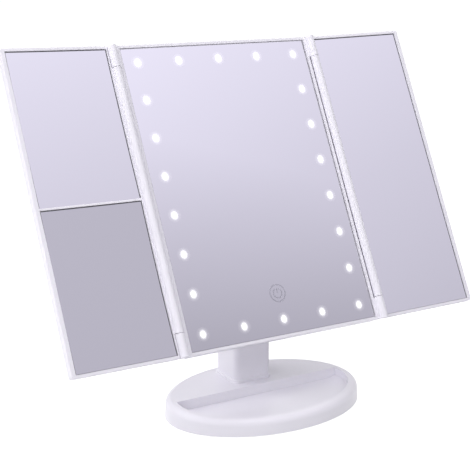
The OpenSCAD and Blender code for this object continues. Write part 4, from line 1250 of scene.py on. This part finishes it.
class VANITY_OT_rear(Operator):
    """Model the rear cover with its battery box, screw seats and hinge ears"""

    bl_idname = "vanity.rear"
    bl_label = "Rear cover"

    def execute(self, context):
        layout, head, lights, back = read_settings("head", "lights", "back")
        x, z, rear = layout.frame_x, layout.frame_z, layout.head_back
        cover = add_block("rear_moulding", (-x, head.seam, -z), (x, rear, z))
        round_edges(cover, along("Y"), head.corner, 6)
        round_edges(cover, level("Y", rear), head.cover_edge, 4)
        half = back.width / 2
        box = add_block("box", (-half, head.seam + 0.5 * MM, layout.box_low),
                        (half, layout.box_back, layout.box_high))
        round_edges(box, along("Y"), back.corner, 8)
        round_edges(box, level("Y", layout.box_back), back.edge, 6)
        fuse(cover, box)
        carve(cover, *self.battery_bay(layout, back, head))
        for side in (-1, 1):
            fuse(cover, self.ear(layout, back, head, side))
        for place in self.screws(layout, head, lights):
            carve(cover, add_rod("seat", "Y", place, back.screw, rear - back.screw_depth, rear + MM, 32))
        port_z = (layout.box_low + layout.box_high) / 2 - back.port_drop
        port_y = rear + back.port_back
        carve(cover, add_block(
            "mouth", (half - 6 * MM, port_y - back.port_depth / 2, port_z - back.port_width / 2),
            (half + MM, port_y + back.port_depth / 2, port_z + back.port_width / 2),
        ))
        soften(cover, COVER_BEVEL, 2, 45)
        finish_moulding(cover, "head", "rear_cover", layout.head)
        return {"FINISHED"}

    def battery_bay(self, layout, back, head):
        """The hollow for the cells, the door's opening, and the grooves that its flanges slide in."""
        half, fit = back.door / 2, head.fit
        low, high = layout.box_low + back.bay_foot, layout.box_high - back.bay_head
        wide = half + back.flange + 2 * fit
        groove = layout.door_front - fit
        return (
            add_block("bay", (-wide, layout.head_back, low), (wide, groove + 0.1 * MM, high)),
            add_block("opening", (-half - fit, groove, low - 0.7 * MM),
                      (half + fit, layout.box_back + MM, layout.box_high + MM)),
            add_block("grooves", (-wide, groove, low),
                      (wide, layout.door_front + back.flange_depth + fit, layout.box_high + MM)),
        )

    def ear(self, layout, back, head, side):
        """A plate from the cover out to the pivot, round at its end."""
        inner, outer = sorted((side * layout.ear_in, side * layout.ear_out))
        pivot = (0, head.pivot_back, layout.pivot_z)
        root = layout.head_back - 0.5 * MM
        plate = add_block("ear", (inner, root, layout.pivot_z - back.ear_root),
                          (outer, head.pivot_back, layout.pivot_z + back.ear_root))
        begin(plate)
        pick(plate, "FACE", level("Y", head.pivot_back))
        bpy.ops.transform.resize(value=(1, 1, (back.ear_radius - 0.3 * MM) / back.ear_root))
        end()
        fuse(plate, add_rod("end", "X", pivot, back.ear_radius, inner, outer, 72))
        carve(plate, add_rod("bore", "X", pivot, back.bolt + 0.03 * MM, inner - MM, outer + MM))
        soften(plate, 0.5 * MM, 3, 50)
        return plate

    def screws(self, layout, head, lights):
        """Seats of the cover's screws, in the margin outside the light strips."""
        strip, skirt = 4 * MM, 1.4 * MM
        reach_x = head.glass_width / 2 - lights.inset_x + strip
        reach_z = head.glass_height / 2 - lights.inset_z + strip
        x = (reach_x + layout.pocket_x - head.fit - skirt) / 2
        z = (reach_z + head.glass_height / 2 - skirt) / 2
        return [(sx * x, 0, sz * z) for sx in (-1, 1) for sz in (-1, 0, 1)]


class VANITY_OT_battery_door(Operator):
    """Model the sliding battery door with its grip ribs"""

    bl_idname = "vanity.battery_door"
    bl_label = "Battery door"

    def execute(self, context):
        layout, head, back = read_settings("head", "back")
        half = back.door / 2
        low = layout.box_low + back.bay_foot
        door = add_block("battery_door_moulding", (-half, layout.door_front, low - 0.4 * MM),
                         (half, layout.box_back, layout.box_high))
        round_edges(door, lambda e: level("Y", layout.box_back)(e) and level("Z", layout.box_high)(e),
                    back.edge, 6)
        wide = half + back.flange
        flanges = add_block("flanges", (-wide, layout.door_front, low + head.fit),
                            (wide, layout.door_front + back.flange_depth, layout.box_high - 0.4 * MM))
        fuse(door, flanges)
        rib_half, rib_width, rib_pitch, rib_drop, rib_edge = 9 * MM, 0.9 * MM, 2 * MM, 8 * MM, 0.3 * MM
        crest, foot = layout.box_back + 0.5 * MM, layout.box_high - rib_drop
        rib = add_block("rib", (-rib_half, layout.box_back - OVERLAP, foot),
                        (rib_half, crest, foot + rib_width))
        round_edges(rib, level("Y", crest), rib_edge, 3)
        ribs = [copy_of(rib, "rib", (0, 0, -rib_pitch * i)) for i in range(5)]
        bpy.data.objects.remove(rib, do_unlink=True)
        soften(door, COVER_BEVEL, 2, 50)
        fuse(door, *ribs)
        finish_moulding(door, "battery_door", "battery_door", layout.head)
        return {"FINISHED"}


class VANITY_OT_hinge_caps(Operator):
    """Model the caps over the bolt and the nut of the tilt hinge"""

    bl_idname = "vanity.hinge_caps"
    bl_label = "Hinge caps"

    def execute(self, context):
        layout, head, back = read_settings("head", "back")
        caps = []
        ring, step, hollow, edge = 1.4 * MM, 0.5 * MM, 0.3 * MM, 0.4 * MM
        for side in (-1, 1):
            start, stop = side * layout.ear_out, side * (layout.ear_out + back.cap_depth)
            cap = add_rod("cap", "X", (0, head.pivot_back, layout.pivot_z), back.cap, start, stop, 72)
            begin(cap)
            pick(cap, "FACE", level("X", stop))
            bpy.ops.mesh.inset(thickness=ring, depth=0)
            bpy.ops.mesh.inset(thickness=step, depth=0)
            bpy.ops.transform.translate(value=(-side * hollow, 0, 0))
            end()
            round_edges(cap, lambda e: level("X", stop)(e) and
                        math.hypot(middle(e).y - head.pivot_back, middle(e).z - layout.pivot_z)
                        > back.cap - 0.1 * MM, edge, 3)
            caps.append(cap)
        pair = gather("hinge_cap_pair", caps)
        finish_moulding(pair, "head", "hinge_caps", layout.head)
        return {"FINISHED"}


# ---------- light, floor and camera ----------


class VANITY_OT_stage(Operator):
    """Set up the floor, the room's light, the lamps and the camera"""

    bl_idname = "vanity.stage"
    bl_label = "Stage"

    def execute(self, context):
        studio = context.scene.vanity_mirror.studio
        self.floor(studio)
        self.room(context.scene, studio)
        for name, place in LAMP_PLACES.items():
            self.lamp(f"{name.title()} light", Vector(place), getattr(studio, name), studio.tint)
        self.camera(context.scene, studio)
        context.scene.view_settings.view_transform = "Standard"
        return {"FINISHED"}

    def seen_or_mirrored(self, owner):
        """1 for rays from the camera and for those that a gloss or a glass sends on, else 0."""
        rays = add_node(owner, "ShaderNodeLightPath").outputs
        total = rays["Is Camera Ray"]
        for name in ("Is Glossy Ray", "Is Transmission Ray"):
            total = add_node(owner, "ShaderNodeMath", {0: total, 1: rays[name]},
                             operation="ADD", use_clamp=True).outputs[0]
        return total

    def floor(self, studio):
        clear_selection()
        bpy.ops.mesh.primitive_plane_add(size=12, location=(0, 0, -NEAR))
        floor = bpy.context.object
        floor.name = "floor"
        set_transform(floor)
        material = bpy.data.materials.new("Pale floor")
        material.use_nodes = True
        material.node_tree.nodes.clear()
        matt = add_node(material, "ShaderNodeBsdfDiffuse", {"Color": (*studio.floor, 1)})
        strength = add_node(material, "ShaderNodeMath", {0: self.seen_or_mirrored(material), 1: studio.white},
                            operation="MULTIPLY")
        shine = add_node(material, "ShaderNodeEmission", {"Color": WHITE, "Strength": strength.outputs[0]})
        both = add_node(material, "ShaderNodeAddShader", {0: matt.outputs[0], 1: shine.outputs[0]})
        add_node(material, "ShaderNodeOutputMaterial", {"Surface": both.outputs[0]})
        floor.data.materials.append(material)

    def room(self, scene, studio):
        """Even light on the object, and a plain white backdrop.

        What the glasses mirror is a white room whose front wall is darker towards its foot, as a
        studio's open side is.
        """
        world = bpy.data.worlds.new("Room")
        scene.world = world
        world.use_nodes = True
        world.node_tree.nodes.clear()
        where = add_node(world, "ShaderNodeTexCoord").outputs["Generated"]
        parts = add_node(world, "ShaderNodeSeparateXYZ", {0: where}).outputs
        tones = [(height, scaled(studio.picture, tone)) for height, tone in FRONT_WALL]
        wall = colour_ramp(world, parts["Z"], tones)
        front = spread(world, parts["Y"], 0.0, 1.0, WALL_START, WALL_STOP, interpolation_type="SMOOTHSTEP")
        picture = add_node(world, "ShaderNodeMix", {"Factor": front, "A": WHITE, "B": wall}, data_type="RGBA")
        seen = add_node(world, "ShaderNodeBackground", {"Color": picture.outputs["Result"]})
        light = add_node(world, "ShaderNodeBackground", {
            "Color": (*studio.tint, 1), "Strength": studio.ambient,
        })
        choose = add_node(world, "ShaderNodeMixShader", {
            "Fac": self.seen_or_mirrored(world), 1: light.outputs[0], 2: seen.outputs[0],
        })
        white = add_node(world, "ShaderNodeBackground", {"Color": WHITE})
        rays = add_node(world, "ShaderNodeLightPath").outputs
        backdrop = add_node(world, "ShaderNodeMixShader", {
            "Fac": rays["Is Camera Ray"], 1: choose.outputs[0], 2: white.outputs[0],
        })
        add_node(world, "ShaderNodeOutputWorld", {"Surface": backdrop.outputs[0]})

    def lamp(self, name, place, power, tint):
        """An area light that looks at the middle of the object."""
        lamp = bpy.data.lights.new(name, "AREA")
        lamp.size, lamp.energy, lamp.color = LAMP_SIZE, power, tint
        target = (cad_box[0] + cad_box[1]) / 2
        holder = bpy.data.objects.new(name, lamp)
        holder.location = place
        holder.rotation_euler = (target - place).to_track_quat("-Z", "Y").to_euler()
        holder.visible_glossy = False
        bpy.context.scene.collection.objects.link(holder)

    def camera(self, scene, studio):
        data = bpy.data.cameras.new("Camera")
        data.lens, data.sensor_width = studio.lens, 36
        data.shift_x, data.shift_y = studio.shift_x, studio.shift_y
        data.clip_start, data.clip_end = 0.01, 50
        camera = bpy.data.objects.new("Camera", data)
        forward = Vector((math.sin(studio.heading) * math.cos(studio.dip),
                          math.cos(studio.heading) * math.cos(studio.dip), -math.sin(studio.dip)))
        right = forward.cross(Vector((0, 0, 1))).normalized()
        up = right.cross(forward)
        across = right * math.cos(studio.roll) + up * math.sin(studio.roll)
        above = up * math.cos(studio.roll) - right * math.sin(studio.roll)
        camera.matrix_world = Matrix((
            (across.x, above.x, -forward.x, studio.eye[0]),
            (across.y, above.y, -forward.y, studio.eye[1]),
            (across.z, above.z, -forward.z, studio.eye[2]),
            (0, 0, 0, 1),
        ))
        scene.collection.objects.link(camera)
        scene.camera = camera


# ---------- panel and registration ----------


STEPS = (
    VANITY_OT_stage, VANITY_OT_finishes, VANITY_OT_base, VANITY_OT_post, VANITY_OT_middle, VANITY_OT_wings,
    VANITY_OT_plain_glasses, VANITY_OT_dished_glasses, VANITY_OT_lenses, VANITY_OT_touch_mark,
    VANITY_OT_rear, VANITY_OT_battery_door, VANITY_OT_hinge_caps,
)


class VANITY_PT_panel(Panel):
    """Lists the sizes, the finishes and the steps that make the mirror"""

    bl_idname = "VANITY_PT_panel"
    bl_label = "Vanity mirror"
    bl_space_type = "VIEW_3D"
    bl_region_type = "UI"
    bl_category = "Vanity mirror"

    def draw(self, context):
        settings = context.scene.vanity_mirror
        for group in ("base", "post", "head", "wings", "lights", "back", "finishes", "studio"):
            box = self.layout.box()
            box.label(text=group.title())
            part = getattr(settings, group)
            for name in part.bl_rna.properties.keys():
                if name not in ("rna_type", "name"):
                    box.prop(part, name)
        for step in STEPS:
            self.layout.operator(step.bl_idname)


CLASSES = (
    VanityBaseSizes, VanityPostSizes, VanityHeadSizes, VanityWingSizes, VanityLightSizes, VanityBackSizes,
    VanityFinishes, VanityStudio, VanityMirrorSettings, *STEPS, VANITY_PT_panel,
)


def register():
    for item in CLASSES:
        bpy.utils.register_class(item)
    bpy.types.Scene.vanity_mirror = PointerProperty(type=VanityMirrorSettings)


def unregister():
    del bpy.types.Scene.vanity_mirror
    for item in reversed(CLASSES):
        bpy.utils.unregister_class(item)


def main():
    register()
    bpy.ops.vanity.stage()
    bpy.ops.vanity.finishes()
    bpy.ops.vanity.base()
    bpy.ops.vanity.post()
    bpy.ops.vanity.middle()
    bpy.ops.vanity.wings()
    bpy.ops.vanity.plain_glasses()
    bpy.ops.vanity.dished_glasses()
    bpy.ops.vanity.lenses()
    bpy.ops.vanity.touch_mark()
    bpy.ops.vanity.rear()
    bpy.ops.vanity.battery_door()
    bpy.ops.vanity.hinge_caps()


if __name__ == "__main__":
    main()
